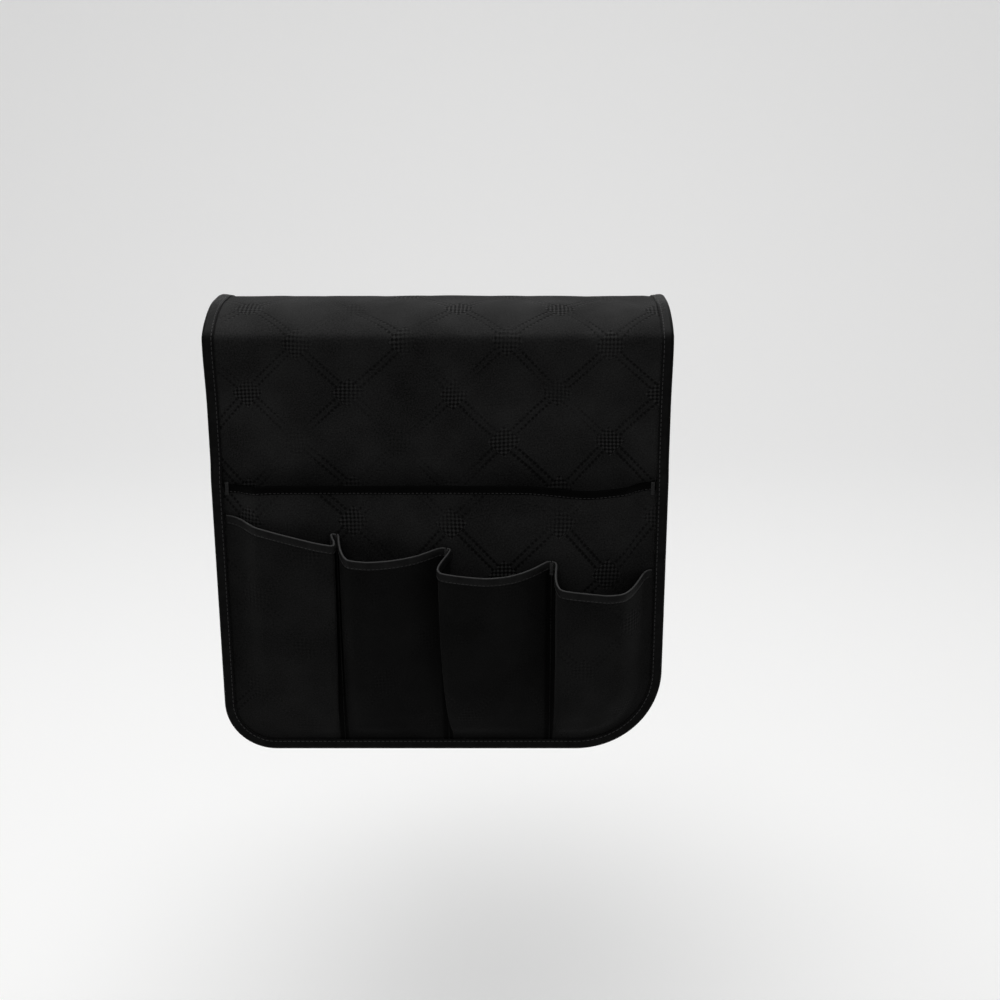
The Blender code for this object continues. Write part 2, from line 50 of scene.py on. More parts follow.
# Sizes that the solids have, in metres.
width = 0.330
armWidth = 0.100
frontLength = 0.314
tailLength = 0.180
flapLength = 0.245
plateau = 0.016
crownTurn = radians(24)
shoulderRadius = 0.0105
tuckRadius = 0.006
joinGap = 0.0003
clearance = 0.0003
tapeThickness = 0.0006
backingFoot = 0.0011
faceTop = 0.0045
panelOuter = 0.0054
bindingWidth = 0.0085
pocketThickness = 0.0008
panelInset = 0.0009
frontCorners = (0.038, 0.064)
flapCorners = (0.030, 0.030)
farOff = 1.0  # Further along the cloth than any end
tiny = 1e-12  # Keeps a length of zero from being divided by

# Worked out from those sizes.
halfWidth = width / 2
halfArm = armWidth / 2
halfPlateau = plateau / 2
crownRadius = (halfArm - halfPlateau - shoulderRadius * (1 - sin(crownTurn))) / sin(crownTurn)
tuckTurnRadius = tuckRadius + panelOuter
crownLength = (crownRadius + faceTop) * crownTurn
shoulderLength = (shoulderRadius + faceTop) * (pi / 2 - crownTurn)
beforeFall = halfPlateau + crownLength + shoulderLength
beforeTuck = beforeFall + joinGap + tailLength
tuckLength = (tuckTurnRadius - faceTop) * pi / 2
beforeFlap = beforeTuck + tuckLength
frontEnd = beforeFall + joinGap + frontLength
flapEnd = beforeFlap + joinGap + flapLength
tailSplit = beforeFall + tailLength / 2


def toLinear(code):  # An sRGB hex colour as linear RGBA
    shares = [int(code[i : i + 2], 16) / 255 for i in (1, 3, 5)]
    linear = [s / 12.92 if s <= 0.04045 else ((s + 0.055) / 1.055) ** 2.4 for s in shares]
    return (*linear, 1.0)


def ease(share):  # Runs from 0 to 1 with a soft start and a soft end
    share = np.clip(share, 0, 1)
    return share * share * (3 - 2 * share)


def blend(low, high, share):  # The value that lies a share of the way from low to high
    return low + (high - low) * share


# Below its fold the front stands off a little before it hangs straight.
billow = {
    "depth": 0.0045,
    "start": 0.046,
    "rise": 0.014,
    "power": 2.2,
    "hold": 0.006,
    "fade": 0.045,
}


# A place on the bent cloth. along is cloth length from the crown, negative to the front.
def clothPoint(x, along, out):
    x, along, out = np.broadcast_arrays(*(np.asarray(v, float) for v in (x, along, out)))
    side = np.where(along < 0, -1.0, 1.0)
    length = np.abs(along)
    crown = np.clip(length - halfPlateau, 0, crownLength) / (crownRadius + faceTop)
    shoulder = np.clip(length - halfPlateau - crownLength, 0, shoulderLength)
    shoulder = shoulder / (shoulderRadius + faceTop)
    fallEnd = np.where(side < 0, farOff, beforeTuck)
    fall = np.clip(length, beforeFall, fallEnd) - beforeFall
    tuck = np.clip(length - beforeTuck, 0, tuckLength) / (tuckTurnRadius - faceTop)
    tuck = np.where(side < 0, 0, tuck)
    flat = np.where(side < 0, 0, np.clip(length - beforeFlap, 0, None))
    lean = crown + shoulder - tuck
    swell = np.clip((length - billow["start"]) / billow["rise"], 0, 1) ** billow["power"]
    past = length - billow["start"] - billow["rise"] - billow["hold"]
    swell *= 1 - ease(past / billow["fade"])
    out = out + np.where(side < 0, billow["depth"], 0) * swell
    y = np.minimum(length, halfPlateau) + crownRadius * np.sin(crown)
    y += shoulderRadius * (np.sin(crownTurn + shoulder) - sin(crownTurn))
    y += tuckTurnRadius * (1 - np.cos(tuck)) + flat
    z = crownRadius * (np.cos(crown) - 1)
    z += shoulderRadius * (np.cos(crownTurn + shoulder) - cos(crownTurn))
    z -= fall + tuckTurnRadius * np.sin(tuck)
    return np.stack([x, side * (y + np.sin(lean) * out), z + np.cos(lean) * out], axis=-1)


def frontAlong(height):  # Cloth length from the crown for a height above the front's foot
    return -(frontEnd - height)


# A panel's left and right edges at a height above its rounded end, inset as under a binding.
def edgeLimits(height, inset, corners):
    reaches = []
    for radius in corners:
        rounded = radius - inset
        drop = np.minimum(np.clip(radius - height, 0, None), rounded)
        reaches.append(halfWidth - radius + np.sqrt(rounded**2 - drop**2))
    return -reaches[0], reaches[1]


def edgeDistance(x, height, corners):  # How far inside a panel's rounded outline a place lies
    radius = np.where(x < 0, corners[0], corners[1])
    side = halfWidth - np.abs(x)
    inCorner = (side < radius) & (height < radius)
    rounded = radius - np.hypot(radius - side, radius - height)
    return np.where(inCorner, rounded, np.minimum(side, height))


# Smooth noise from -1 to 1 over arrays, scale in features per metre each way.
def softNoise(x, y, seed, scale):
    x, y = np.broadcast_arrays(x, y)
    pairs = zip(x.ravel(), y.ravel())
    flat = [noise.noise(Vector((a * scale[0], b * scale[1], seed))) for a, b in pairs]
    return np.array(flat).reshape(x.shape)


# A mesh from arrays of places and of flat cloth coordinates, which the materials read.
def meshPiece(name, points, cloth, faces, material):
    mesh = bpy.data.meshes.new(name)
    mesh.from_pydata(np.reshape(points, (-1, 3)).tolist(), [], faces)
    place = mesh.attributes.new("clothPlace", "FLOAT_VECTOR", "POINT")
    place.data.foreach_set("vector", np.asarray(cloth, np.float32).reshape(-1))
    mesh.shade_smooth()
    mesh.materials.append(material)
    piece = bpy.data.objects.new(name, mesh)
    bpy.context.scene.collection.objects.link(piece)
    return piece


# Quads between neighbouring rows and columns. closed joins the last column to the first.
def gridFaces(rows, columns, closed=False):
    faces = []
    for row in range(rows - 1):
        low, high = row * columns, (row + 1) * columns
        for column in range(columns if closed else columns - 1):
            after = (column + 1) % columns
            faces.append((low + column, low + after, high + after, high + column))
    return faces


# A sheet from a grid of places. A row that is dropped only steadies the edge's shading.
def clothGrid(name, points, cloth, material, dropFirst=False, dropLast=False):
    across = np.gradient(points, axis=1)
    down = np.gradient(points, axis=0)
    normals = np.cross(across, down)
    normals /= np.linalg.norm(normals, axis=-1, keepdims=True) + tiny
    keep = slice(1 if dropFirst else 0, -1 if dropLast else None)
    points, cloth, normals = points[keep], cloth[keep], normals[keep]
    rows, columns = points.shape[:2]
    piece = meshPiece(name, points, cloth, gridFaces(rows, columns), material)
    if dropFirst or dropLast:
        piece.data.update()
        if np.dot(piece.data.polygons[0].normal, normals[0, 0]) < 0:
            normals = -normals
        piece.data.normals_split_custom_set_from_vertices(normals.reshape(-1, 3).tolist())
    return piece


# A node with its settings and with what feeds its inputs: an output or a plain value.
def addNode(tree, kind, settings=None, links=None):
    node = tree.nodes.new(kind)
    for key, value in (settings or {}).items():
        setattr(node, key, value)
    for key, value in (links or {}).items():
        if isinstance(value, bpy.types.NodeSocket):
            tree.links.new(value, node.inputs[key])
        else:
            node.inputs[key].default_value = value
    return node


# Runs named sums as Math nodes: each step is (name, operation, inputs...).
def calculate(tree, known, steps):
    for name, operation, *inputs in steps:
        feeds = {i: known[v] if isinstance(v, str) else v for i, v in enumerate(inputs)}
        step = addNode(tree, "ShaderNodeMath", {"operation": operation}, feeds)
        known[name] = step.outputs[0]
    return known


# A Principled material with its plain values, and the flat cloth coordinates as sockets.
def startMaterial(name, look):
    made = bpy.data.materials.new(name)
    made.use_nodes = True
    tree = made.node_tree
    shader = tree.nodes["Principled BSDF"]
    plain = {
        "Base Color": toLinear(look["colour"]),
        "Roughness": look["roughness"],
        "IOR": 1.5,
        "Specular IOR Level": look.get("specular", 0.5),
        "Sheen Weight": look.get("sheen", 0),
        "Sheen Roughness": look.get("sheenRoughness", 0.5),
    }
    for key, value in plain.items():
        shader.inputs[key].default_value = value
    stored = {"attribute_name": "clothPlace", "attribute_type": "GEOMETRY"}
    place = addNode(tree, "ShaderNodeAttribute", stored)
    parts = addNode(tree, "ShaderNodeSeparateXYZ", links={"Vector": place.outputs["Vector"]})
    known = {"x": parts.outputs[0], "u": parts.outputs[1], "w": parts.outputs[2]}
    return made, tree, shader, place.outputs["Vector"], known


# Bump from a height in metres, and a colour that runs between two tones. Where a seam share is
# given, the colour runs to black along the seams as painted shade.
def finishCloth(tree, shader, look, height, tone, seamShade=None):
    bumped = {"Strength": 1.0, "Distance": 1.0, "Height": height}
    bump = addNode(tree, "ShaderNodeBump", links=bumped)
    tree.links.new(bump.outputs["Normal"], shader.inputs["Normal"])
    colours = {"Factor": tone, 6: toLinear(look["colour"]), 7: toLinear(look["light"])}
    paint = addNode(tree, "ShaderNodeMix", {"data_type": "RGBA"}, colours)
    if seamShade is not None:
        colours = {"Factor": seamShade, 6: paint.outputs[2], 7: toLinear(look["seamShade"])}
        paint = addNode(tree, "ShaderNodeMix", {"data_type": "RGBA"}, colours)
    tree.links.new(paint.outputs[2], shader.inputs["Base Color"])


# The quilting: a square lattice on its corner, pressed as double dotted lines, with a fine
# checker at each crossing. Places are on the flat cloth.
quilting = {
    "diagonal": 0.074,  # Crossings 74 mm apart along a row
    "crossingX": 0.048,
    "crossingAlong": -0.0634,
    "lineApart": 0.0024,
    "lineWidth": 0.0013,
    "lineDepth": 0.00042,
    "dotPitch": 0.0034,  # The heated wheel's teeth, 3.4 mm apart
    "dotGain": 2.2,
    "dotLeast": 0.1,
    "checkerReach": 0.0082,
    "checkerPitch": 0.0040,  # Two squares of 2 mm
    "checkerDepth": 0.00045,
    "checkerContrast": 2.0,
    "valleyWidth": 0.0042,
    "valleyDepth": 0.00015,
    "stray": 0.0065,
    "strayScale": (11, 11),
    "straySeeds": (21.7, 47.1),
    "fadeGain": 4.4,
    "fadeStart": -1.7,
    "fadeLeast": 0.12,
}


# Math for the pressed lines, from flat x and u: pressed is 1 in a groove, checker in a square.
def latticeSteps():
    q = quilting
    apart = q["diagonal"] / 2**0.5
    steps = [
        ("x0", "SUBTRACT", "x", q["crossingX"]),
        ("u0", "SUBTRACT", "u", q["crossingAlong"]),
        ("sum", "ADD", "x0", "u0"),
        ("difference", "SUBTRACT", "x0", "u0"),
        ("a", "DIVIDE", "sum", q["diagonal"]),
        ("b", "DIVIDE", "difference", q["diagonal"]),
    ]
    for own, other in (("a", "b"), ("b", "a")):
        steps += [
            (own + "Near", "PINGPONG", own, 0.5),
            (own + "Far", "MULTIPLY", own + "Near", apart),
            (own + "Line", "SUBTRACT", own + "Far", q["lineApart"]),
            (own + "Off", "ABSOLUTE", own + "Line"),
            (own + "Share", "DIVIDE", own + "Off", q["lineWidth"]),
            (own + "Gone", "MINIMUM", own + "Share", 1.0),
            (own + "Groove", "SUBTRACT", 1.0, own + "Gone"),
            (own + "Along", "MULTIPLY", other, apart / q["dotPitch"]),
            (own + "Wave", "PINGPONG", own + "Along", 0.5),
            (own + "Dot", "MULTIPLY_ADD", own + "Wave", q["dotGain"], q["dotLeast"]),
            (own + "Pressed", "MULTIPLY", own + "Groove", own + "Dot"),
            (own + "In", "LESS_THAN", own + "Far", q["checkerReach"]),
            (own + "Turns", "MULTIPLY", own, 2 * pi * apart / q["checkerPitch"]),
            (own + "Sine", "SINE", own + "Turns"),
        ]
    return steps + [
        ("square", "MULTIPLY", "aIn", "bIn"),
        ("outside", "SUBTRACT", 1.0, "square"),
        ("lines", "MAXIMUM", "aPressed", "bPressed"),
        ("whole", "MULTIPLY", "lines", "outside"),
        ("pressed", "MULTIPLY", "whole", "fade"),
        ("grooves", "MAXIMUM", "aGroove", "bGroove"),
        ("bare", "MULTIPLY", "grooves", "outside"),
        ("groove", "MULTIPLY", "bare", "fade"),
        ("check", "MULTIPLY", "aSine", "bSine"),
        ("raised", "MULTIPLY", "check", q["checkerContrast"]),
        ("clipped", "MINIMUM", "raised", 1.0),
        ("checks", "MAXIMUM", "clipped", -1.0),
        ("squares", "MULTIPLY", "checks", "square"),
        ("checker", "MULTIPLY", "squares", "fade"),
    ]


# A plain weave: woven runs from -1 to 1 as the threads rise and sink both ways.
def weaveSteps(look):
    turns = 2 * pi / look["weavePitch"]
    return [
        ("xWave", "MULTIPLY", "x", turns),
        ("uWave", "MULTIPLY", "u", turns),
        ("xSine", "SINE", "xWave"),
        ("uSine", "SINE", "uWave"),
        ("woven", "MULTIPLY", "xSine", "uSine"),
    ]


# The third flat coordinate gives each layer of cloth its own part of the noise. On a small pocket
# it is start away from the seams, and start plus reach along them, where the cloth gets painted
# shade.
layerMark = {"panels": 0.0, "magazine": 1.0, "start": 2.0, "reach": 0.01}


# Brushed polyester heat-pressed over wadding: a soft matte pile with a sheen at a glance, pressed
# lines that lie flatter and smoother, with painted highlights on their dots and checkers and
# painted shade along their grooves, and a fine crosswise weave.
def quiltedMaterial(name, look):
    made, tree, shader, place, known = startMaterial(name, look)
    q, emboss = quilting, look["embossing"]
    for word in ("fade", "fuzz", "cloud"):
        scale, detail, roughness = look[word + "Noise"]
        links = {"Vector": place, "Scale": scale, "Detail": detail, "Roughness": roughness}
        known[word + "Fac"] = addNode(tree, "ShaderNodeTexNoise", links=links).outputs["Fac"]
    steps = [
        ("spread", "MULTIPLY_ADD", "fadeFac", q["fadeGain"], q["fadeStart"]),
        ("fade", "MAXIMUM", "spread", q["fadeLeast"]),
    ]
    steps += latticeSteps() + weaveSteps(look)
    steps += [
        ("weaveHeight", "MULTIPLY", "woven", look["weaveDepth"]),
        ("fuzzHeight", "MULTIPLY_ADD", "fuzzFac", look["fuzzDepth"], "weaveHeight"),
        ("lineHeight", "MULTIPLY", "pressed", -q["lineDepth"] * emboss),
        ("checkHeight", "MULTIPLY", "checker", q["checkerDepth"] * emboss),
        ("flatHeight", "ADD", "lineHeight", "checkHeight"),
        ("height", "ADD", "flatHeight", "fuzzHeight"),
        ("cloudTone", "MULTIPLY_ADD", "cloudFac", look["cloudTone"], look["middleTone"]),
        ("fuzzTone", "ADD", "fuzzFac", "cloudTone"),
        # Painted highlight on the pressed dots and the checkers, painted shade along the grooves.
        ("dotTone", "MULTIPLY_ADD", "pressed", look["dotTone"] * emboss, "fuzzTone"),
        ("lineTone", "MULTIPLY_ADD", "groove", look["lineTone"] * emboss, "dotTone"),
        ("embossTone", "MULTIPLY_ADD", "checker", look["checkTone"] * emboss, "lineTone"),
        # Painted shade: the small pockets' cloth runs to black along the seams.
        ("pastShadeMark", "SUBTRACT", "w", layerMark["start"]),
        ("seamShadeShare", "DIVIDE", "pastShadeMark", layerMark["reach"]),
        ("seamShade", "MAXIMUM", "seamShadeShare", 0.0),
        ("roughness", "MULTIPLY_ADD", "pressed", look["pressedGloss"], look["roughness"]),
    ]
    calculate(tree, known, steps)
    finishCloth(tree, shader, look, known["height"], known["embossTone"], known["seamShade"])
    tree.links.new(known["roughness"], shader.inputs["Roughness"])
    return made


# Folded ribbed polyester tape: close crosswise ribs that give it a low satin gloss.
def tapeMaterial(name, look):
    made, tree, shader, place, known = startMaterial(name, look)
    wear = {"Vector": place, "Scale": look["wearScale"], "Detail": 4.0}
    known["worn"] = addNode(tree, "ShaderNodeTexNoise", links=wear).outputs["Fac"]
    leastTone = look["plainTone"] - look["wornTone"] / 2
    leastRough = look["roughness"] - look["wornGloss"] / 2
    steps = [
        ("ribs", "MULTIPLY", "x", 2 * pi / look["ribPitch"]),
        ("ribSine", "SINE", "ribs"),
        ("ribHeight", "MULTIPLY", "ribSine", look["ribDepth"]),
        ("height", "MULTIPLY_ADD", "worn", look["wearDepth"], "ribHeight"),
        # Painted light along the fold at foldAt: a painted highlight where its strength is
        # positive, painted shade where it is negative.
        ("offFold", "SUBTRACT", "u", look["foldAt"]),
        ("offFoldBy", "ABSOLUTE", "offFold"),
        ("foldShare", "MULTIPLY_ADD", "offFoldBy", -1 / look["foldReach"], 1.0),
        ("foldPart", "MAXIMUM", "foldShare", 0.0),
        ("foldPaintedTone", "MULTIPLY", "foldPart", look["foldPaintedLight"]),
        ("wornTone", "MULTIPLY_ADD", "worn", look["wornTone"], leastTone),
        ("tone", "ADD", "foldPaintedTone", "wornTone"),
        ("gloss", "MULTIPLY_ADD", "worn", look["wornGloss"], leastRough),
    ]
    calculate(tree, known, steps)
    finishCloth(tree, shader, look, known["height"], known["tone"])
    tree.links.new(known["gloss"], shader.inputs["Roughness"])
    return made


# Plain woven backing printed with rubbery dots: matte cloth, with rounded dots that shine.
def gripMaterial(name, look):
    made, tree, shader, place, known = startMaterial(name, look)
    pitch = look["dotPitch"]
    steps = [
        ("rowShare", "DIVIDE", "u", pitch),
        ("rowFloor", "FLOOR", "rowShare"),
        ("rowOdd", "PINGPONG", "rowFloor", 1.0),
        ("shift", "MULTIPLY", "rowOdd", pitch / 2),
        ("shifted", "ADD", "x", "shift"),
        ("across", "DIVIDE", "shifted", pitch),
        ("acrossNear", "PINGPONG", "across", 0.5),
        ("alongNear", "FRACT", "rowShare"),
        ("alongMid", "SUBTRACT", "alongNear", 0.5),
        ("acrossSquare", "POWER", "acrossNear", 2.0),
        ("alongSquare", "MULTIPLY", "alongMid", "alongMid"),
        ("square", "ADD", "acrossSquare", "alongSquare"),
        ("distance", "SQRT", "square"),
        ("share", "DIVIDE", "distance", look["dotRadius"] / pitch),
        ("limited", "MINIMUM", "share", 1.0),
        ("limitedSquare", "MULTIPLY", "limited", "limited"),
        ("dome", "SUBTRACT", 1.0, "limitedSquare"),
        ("domeHeight", "MULTIPLY", "dome", look["dotHeight"]),
        ("dot", "GREATER_THAN", "dome", look["dotRim"]),
        *weaveSteps(look),
        ("height", "MULTIPLY_ADD", "woven", look["weaveDepth"], "domeHeight"),
        ("roughness", "MULTIPLY_ADD", "dot", look["dotGloss"], look["roughness"]),
    ]
    calculate(tree, known, steps)
    finishCloth(tree, shader, look, known["height"], known["dot"])
    tree.links.new(known["roughness"], shader.inputs["Roughness"])
    return made


def threadMaterial(name, look):  # Twisted polyester sewing thread: a slanted twist that glints
    made, tree, shader, place, known = startMaterial(name, look)
    steps = [
        ("slant", "ADD", "x", "u"),
        ("twist", "MULTIPLY", "slant", 2 * pi / look["twistPitch"]),
        ("twistSine", "SINE", "twist"),
        ("height", "MULTIPLY", "twistSine", look["twistDepth"]),
        ("tone", "MULTIPLY_ADD", "twistSine", 0.5, 0.5),
    ]
    calculate(tree, known, steps)
    finishCloth(tree, shader, look, known["height"], known["tone"])
    return made


# Threads lie 0.3 mm apart in the real cloths, ribs 0.4 mm in the tapes, and single fibres of the
# pile 0.02 mm, which are all too fine to show here, so each is drawn two or three times as coarse
# and the pile as tufts of about 1 mm.
quiltedLook = {
    "colour": "#0e0e0e",
    "light": "#3e3e3e",
    "roughness": 0.70,
    "specular": 0.03,
    "sheen": 0.04,
    "sheenRoughness": 0.35,
    "weavePitch": 0.0009,
    "weaveDepth": 0.00003,
    "fadeNoise": (17.0, 2.0, 0.5),  # Features per metre, detail and roughness
    "fuzzNoise": (900.0, 3.0, 0.6),
    "fuzzDepth": 0.00010,
    "cloudNoise": (22.0, 4.0, 0.5),
    "cloudTone": 0.7,
    "middleTone": -0.57,
    "embossing": 1.0,
    "dotTone": 0.70,
    "lineTone": -0.80,
    "checkTone": 0.42,
    "pressedGloss": -0.22,
    # The colour of the painted shade along the seams.
    "seamShade": "#010101",
}
# The pockets' cloth is darker, partly its own colour and partly painted shade for the lower front.
pocketLook = dict(quiltedLook, colour="#0c0c0c", light="#303030", sheen=0.02, embossing=0.4)
# Painted shade: darker still, for the middle two pockets.
deeperShadeLook = dict(pocketLook, colour="#070707", light="#222222", embossing=0.35)
tapeLook = {
    "colour": "#040404",
    "light": "#1a1a1a",
    "roughness": 0.40,
    "specular": 0.04,
    "sheen": 0.03,
    "sheenRoughness": 0.2,
    "wearScale": 160.0,
    "wornTone": 1.2,
    "wornGloss": 0.3,
    "plainTone": 0.27,
    # Painted shade along the edge binding's outer fold.
    "foldAt": 0.0058,
    "foldReach": 0.0030,
    "foldPaintedLight": -1.0,
    "ribPitch": 0.0008,
    "ribDepth": 0.00004,
    "wearDepth": 0.00012,
}
mouthLook = dict(
    tapeLook,
    light="#686868",
    wornTone=0.10,
    plainTone=0.06,
    # A painted highlight along the mouth tape's fold.
    foldAt=0.0034,
    foldReach=0.0013,
    foldPaintedLight=0.65,
)
magazineTapeLook = dict(tapeLook, colour="#010101", light="#050505", specular=0.02, sheen=0.0)
gripLook = {
    "colour": "#161617",
    "light": "#242425",
    "specular": 0.15,
    "roughness": 0.85,
    "dotPitch": 0.0060,
    "dotRadius": 0.0013,
    "dotHeight": 0.0005,
    "dotRim": 0.02,
    "dotGloss": -0.4,
    "weavePitch": 0.0009,
    "weaveDepth": 0.00004,
}
threadLook = {
    "colour": "#1c1c1c",
    "light": "#323233",
    "roughness": 0.45,
    "specular": 0.3,
    "twistPitch": 0.0006,
    "twistDepth": 0.00005,
}

quiltedCloth = quiltedMaterial("brushed_polyester_heat_pressed", quiltedLook)
# The pocket cloth, darker than the face cloth: partly its own darker colour and partly painted
# shade for the lower front. The middle two pockets get darker cloth still, as painted shade. Both
# are unpadded, so the pressing shows only faintly.
shadedPocketCloth = quiltedMaterial("brushed_polyester_pocket_painted_shade", pocketLook)
deepShadedPocketCloth = quiltedMaterial("brushed_polyester_pocket_painted_deep_shade", deeperShadeLook)
bindingTape = tapeMaterial("polyester_tape_ribbed_satin", tapeLook)
# The small pockets' tape has a painted highlight along its fold.
mouthTapeCloth = tapeMaterial("polyester_tape_painted_fold_highlight", mouthLook)
magazineTape = tapeMaterial("polyester_tape_ribbed_dull", magazineTapeLook)
gripCloth = gripMaterial("polyester_backing_dot_printed", gripLook)
sewingThread = threadMaterial("polyester_thread_twisted", threadLook)
# Packed close in a tack, the thread shades itself and looks darker.
tackLook = dict(threadLook, colour="#080808", light="#161616")
tackThread = threadMaterial("polyester_thread_packed_zigzag", tackLook)
print("materials made")


def latticeNear(x, along):  # Distances in metres to the nearest line each way, on the flat cloth
    diagonal = quilting["diagonal"]
    aside, down = x - quilting["crossingX"], along - quilting["crossingAlong"]
    crossed = [turned / diagonal for turned in (aside + down, aside - down)]
    return [np.abs(line - np.round(line)) * diagonal / 2**0.5 for line in crossed]


# Flat places as the pressing found them: the cloth lay a little skewed, so the lines wander.
def strayed(x, along):
    stray, scale = quilting["stray"], quilting["strayScale"]
    aside, down = (stray * softNoise(x, along, seed, scale) for seed in quilting["straySeeds"])
    return x + aside, along + down


# How far the face sinks below its full height: soft valleys along the pressed lines.
def quiltRelief(x, along):
    near = np.minimum(*latticeNear(*strayed(x, along)))
    return -quilting["valleyDepth"] * np.exp(-((near / quilting["valleyWidth"]) ** 2))


# The padded panels: how the face dips to its binding, and how softly it undulates.
panels = {
    "step": 0.0022,
    "edgeDip": 0.0007,
    "edgeRise": 0.007,
    "waveDepth": 0.0009,
    "waveMiddle": 0.4,
    "waveTop": 0.0003,
    "waves": ((1.0, 3.1, (14, 10)), (0.6, 5.3, (34, 28))),  # Share, seed and features per metre
    "faceGap": 0.0001,
    "backRise": 0.0015,
    "backPinch": 0.0002,
    "backStand": 0.0003,
}


# The face cloth's distance out from the underside. distance is how far in from the edge.
def faceOut(x, along, distance):
    clear = ease((distance - bindingWidth) / panels["edgeRise"])
    dip = -panels["edgeDip"] * (1 - clear)
    wave = sum(share * softNoise(x, along, seed, scale) for share, seed, scale in panels["waves"])
    wave = panels["waveDepth"] * (wave - panels["waveMiddle"]) * clear
    relief = quiltRelief(x, along) * clear
    return faceTop - panels["faceGap"] + dip + relief + np.minimum(wave, panels["waveTop"])


# The backing stands proud inside the binding and is pinched where the binding grips it.
def backOut(x, along, distance):
    inside = ease((distance - bindingWidth) / panels["backRise"])
    return blend(backingFoot + panels["backPinch"], panels["backStand"], inside)


def panelRows(first, last, step):  # Even rows about a step apart
    return np.linspace(first, last, int(round(abs(last - first) / step)) + 1)


# x and along for a panel's grid, whose rows narrow round the corners at its end.
def panelGrid(rows, columns, corners, end):
    along = np.repeat(rows[:, None], columns, axis=1)
    height = end - np.abs(along)
    left, right = edgeLimits(np.clip(height, panelInset, None), panelInset, corners)
    share = np.linspace(0, 1, columns)[None, :]
    x = blend(left, right, share)
    return x, along, edgeDistance(x, height, corners)


# One cloth of a padded panel. shared tells which of its ends run on into the next sheet.
def panelSheet(name, panel, outAt, material):
    shared = panel["shared"]
    rows = panelRows(*panel["span"], panels["step"])
    if shared[0]:
        rows = np.concatenate([[2 * rows[0] - rows[1]], rows])
    if shared[1]:
        rows = np.concatenate([rows, [2 * rows[-1] - rows[-2]]])
    columns = int(width / panels["step"]) | 1  # Odd, so that one lies on the middle
    x, along, distance = panelGrid(rows, columns, panel["corners"], panel["end"])
    points = clothPoint(x, along, outAt(x, along, distance))
    printed = strayed(x, along) if material is quiltedCloth else (x, along)
    cloth = np.stack([*printed, np.full_like(x, layerMark["panels"])], axis=-1)
    return clothGrid(name, points, cloth, material, *shared)


# Hangs a piece on one body, or bakes its place into the mesh of one that lies across a fold, and
# hides the solids that it stands for.
def place(piece, slot, body=None, bend=None, stands=()):
    if stands:
        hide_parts(*stands)
    if bend:
        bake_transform(piece)
    else:
        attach(piece, body)
    return piece


# Where the cloth bends: the two bodies and the stretch over which the turn is spread.
folds = {
    "front": {
        "bodies": ("saddle", "front"),
        "start": (0, 0.0040, -0.0242),
        "end": (0, -0.0638, -0.0688),
    },
    "tail": {
        "bodies": ("saddle", "tail"),
        "start": (0, -0.0104, -0.0089),
        "end": (0, 0.0079, -0.0499),
    },
    "tuck": {
        "bodies": ("tail", "flap"),
        "start": (0, 0.0788, -0.1755),
        "end": (0, 0.0904, -0.2158),
    },
}

# The padded panels in three lengths. The tail has no end of its own, so its end is put far off.
panelSpans = {
    "front": {
        "span": (-frontEnd + panelInset, 0),
        "corners": frontCorners,
        "end": frontEnd,
        "shared": (False, True),
        "flat": (width, frontEnd),
        "parts": ("front", "saddle"),
    },
    "tail": {
        "span": (0, tailSplit),
        "corners": (0.001, 0.001),
        "end": farOff,
        "shared": (True, True),
        "flat": (width, tailSplit),
        "parts": ("saddle", "tail"),
    },
    "tuck": {
        "span": (tailSplit, flapEnd - panelInset),
        "corners": flapCorners,
        "end": flapEnd,
        "shared": (True, False),
        "flat": (width, flapEnd - tailSplit),
        "parts": ("tail", "flap"),
    },
}

sheets = {}
for fold, panel in panelSpans.items():
    face = panelSheet(fold + "_quilted_face", panel, faceOut, quiltedCloth)
    stands = [part + word for part in panel["parts"] for word in ("_face_cloth", "_wadding")]
    place(face, "quilted_cloth", bend=fold, stands=stands)
    backing = panelSheet(fold + "_grip_cloth", panel, backOut, gripCloth)
    stands = [part + "_grip_backing" for part in panel["parts"]]
    place(backing, "grip_backing", bend=fold, stands=stands)
    sheets[fold] = (face, backing)
print("padded panels made")

# Magazine pocket and small pockets, with the solids' own sizes.
magazine = {
    "height": 0.213,
    "bulge": 0.011,
    "rise": 0.026,
    "sag": 0.0004,
    "dips": ((0.82, 0.0040, 0.085), (0.05, 0.0020, 0.06)),  # Share of the width, depth and reach
    "tapeWidth": 0.0052,
    "tapeSteps": 131,
    "waveDepth": 0.0010,
    "waveSeed": 7.7,
    "waveScale": (11, 7),
    "patternShift": 0.019,
    "columns": 141,
    "rows": 92,
}
pockets = {
    "dropLeft": 0.024,
    "dropRight": 0.069,
    "bulge": 0.020,
    "sag": 0.015,
    "tapeWidth": 0.0055,
    "rise": 0.012,
    "seamAllowance": 0.0004,
    "seamShares": (0.274, 0.514, 0.745),
    "columns": 84,
    "rows": 64,
    "foldDepth": 0.0011,
    "folds": ((1.0, 11.3, (38, 9)), (0.5, 31.3, (60, 30))),  # Share, seed and features per metre
    "seedStep": 5,
    "patternShift": 0.031,
    "pleatShare": 0.35,
    "footShare": 0.8,
    # How wide the painted shade along the seams is, and how softly it fades.
    "seamShadeWidth": 0.0026,
    "seamShadeFade": 0.0036,
}
fullnessShare = 0.8
rowShare = 1.35

# The tape that is folded over each mouth. pinch and swell shape its sewn leg, and the turns are
# shares of its thickness at the fold.
mouthFold = {
    "besideBinding": 0.0009,
    "thickness": 0.00035,
    "gap": 0.00025,
    "pinch": 0.0003,
    "swell": 0.0001,
    "swellShare": 0.45,
    "turnOut": 0.72,
    "turnUp": 0.7,
    "sewnShare": 0.35,
}
besideBinding = bindingWidth + mouthFold["besideBinding"]
tapeRoom = 2 * mouthFold["gap"] + mouthFold["thickness"]
seams = [share * width - halfWidth for share in pockets["seamShares"]]
mouthLeft = magazine["height"] - pockets["dropLeft"]
mouthRight = magazine["height"] - pockets["dropRight"]
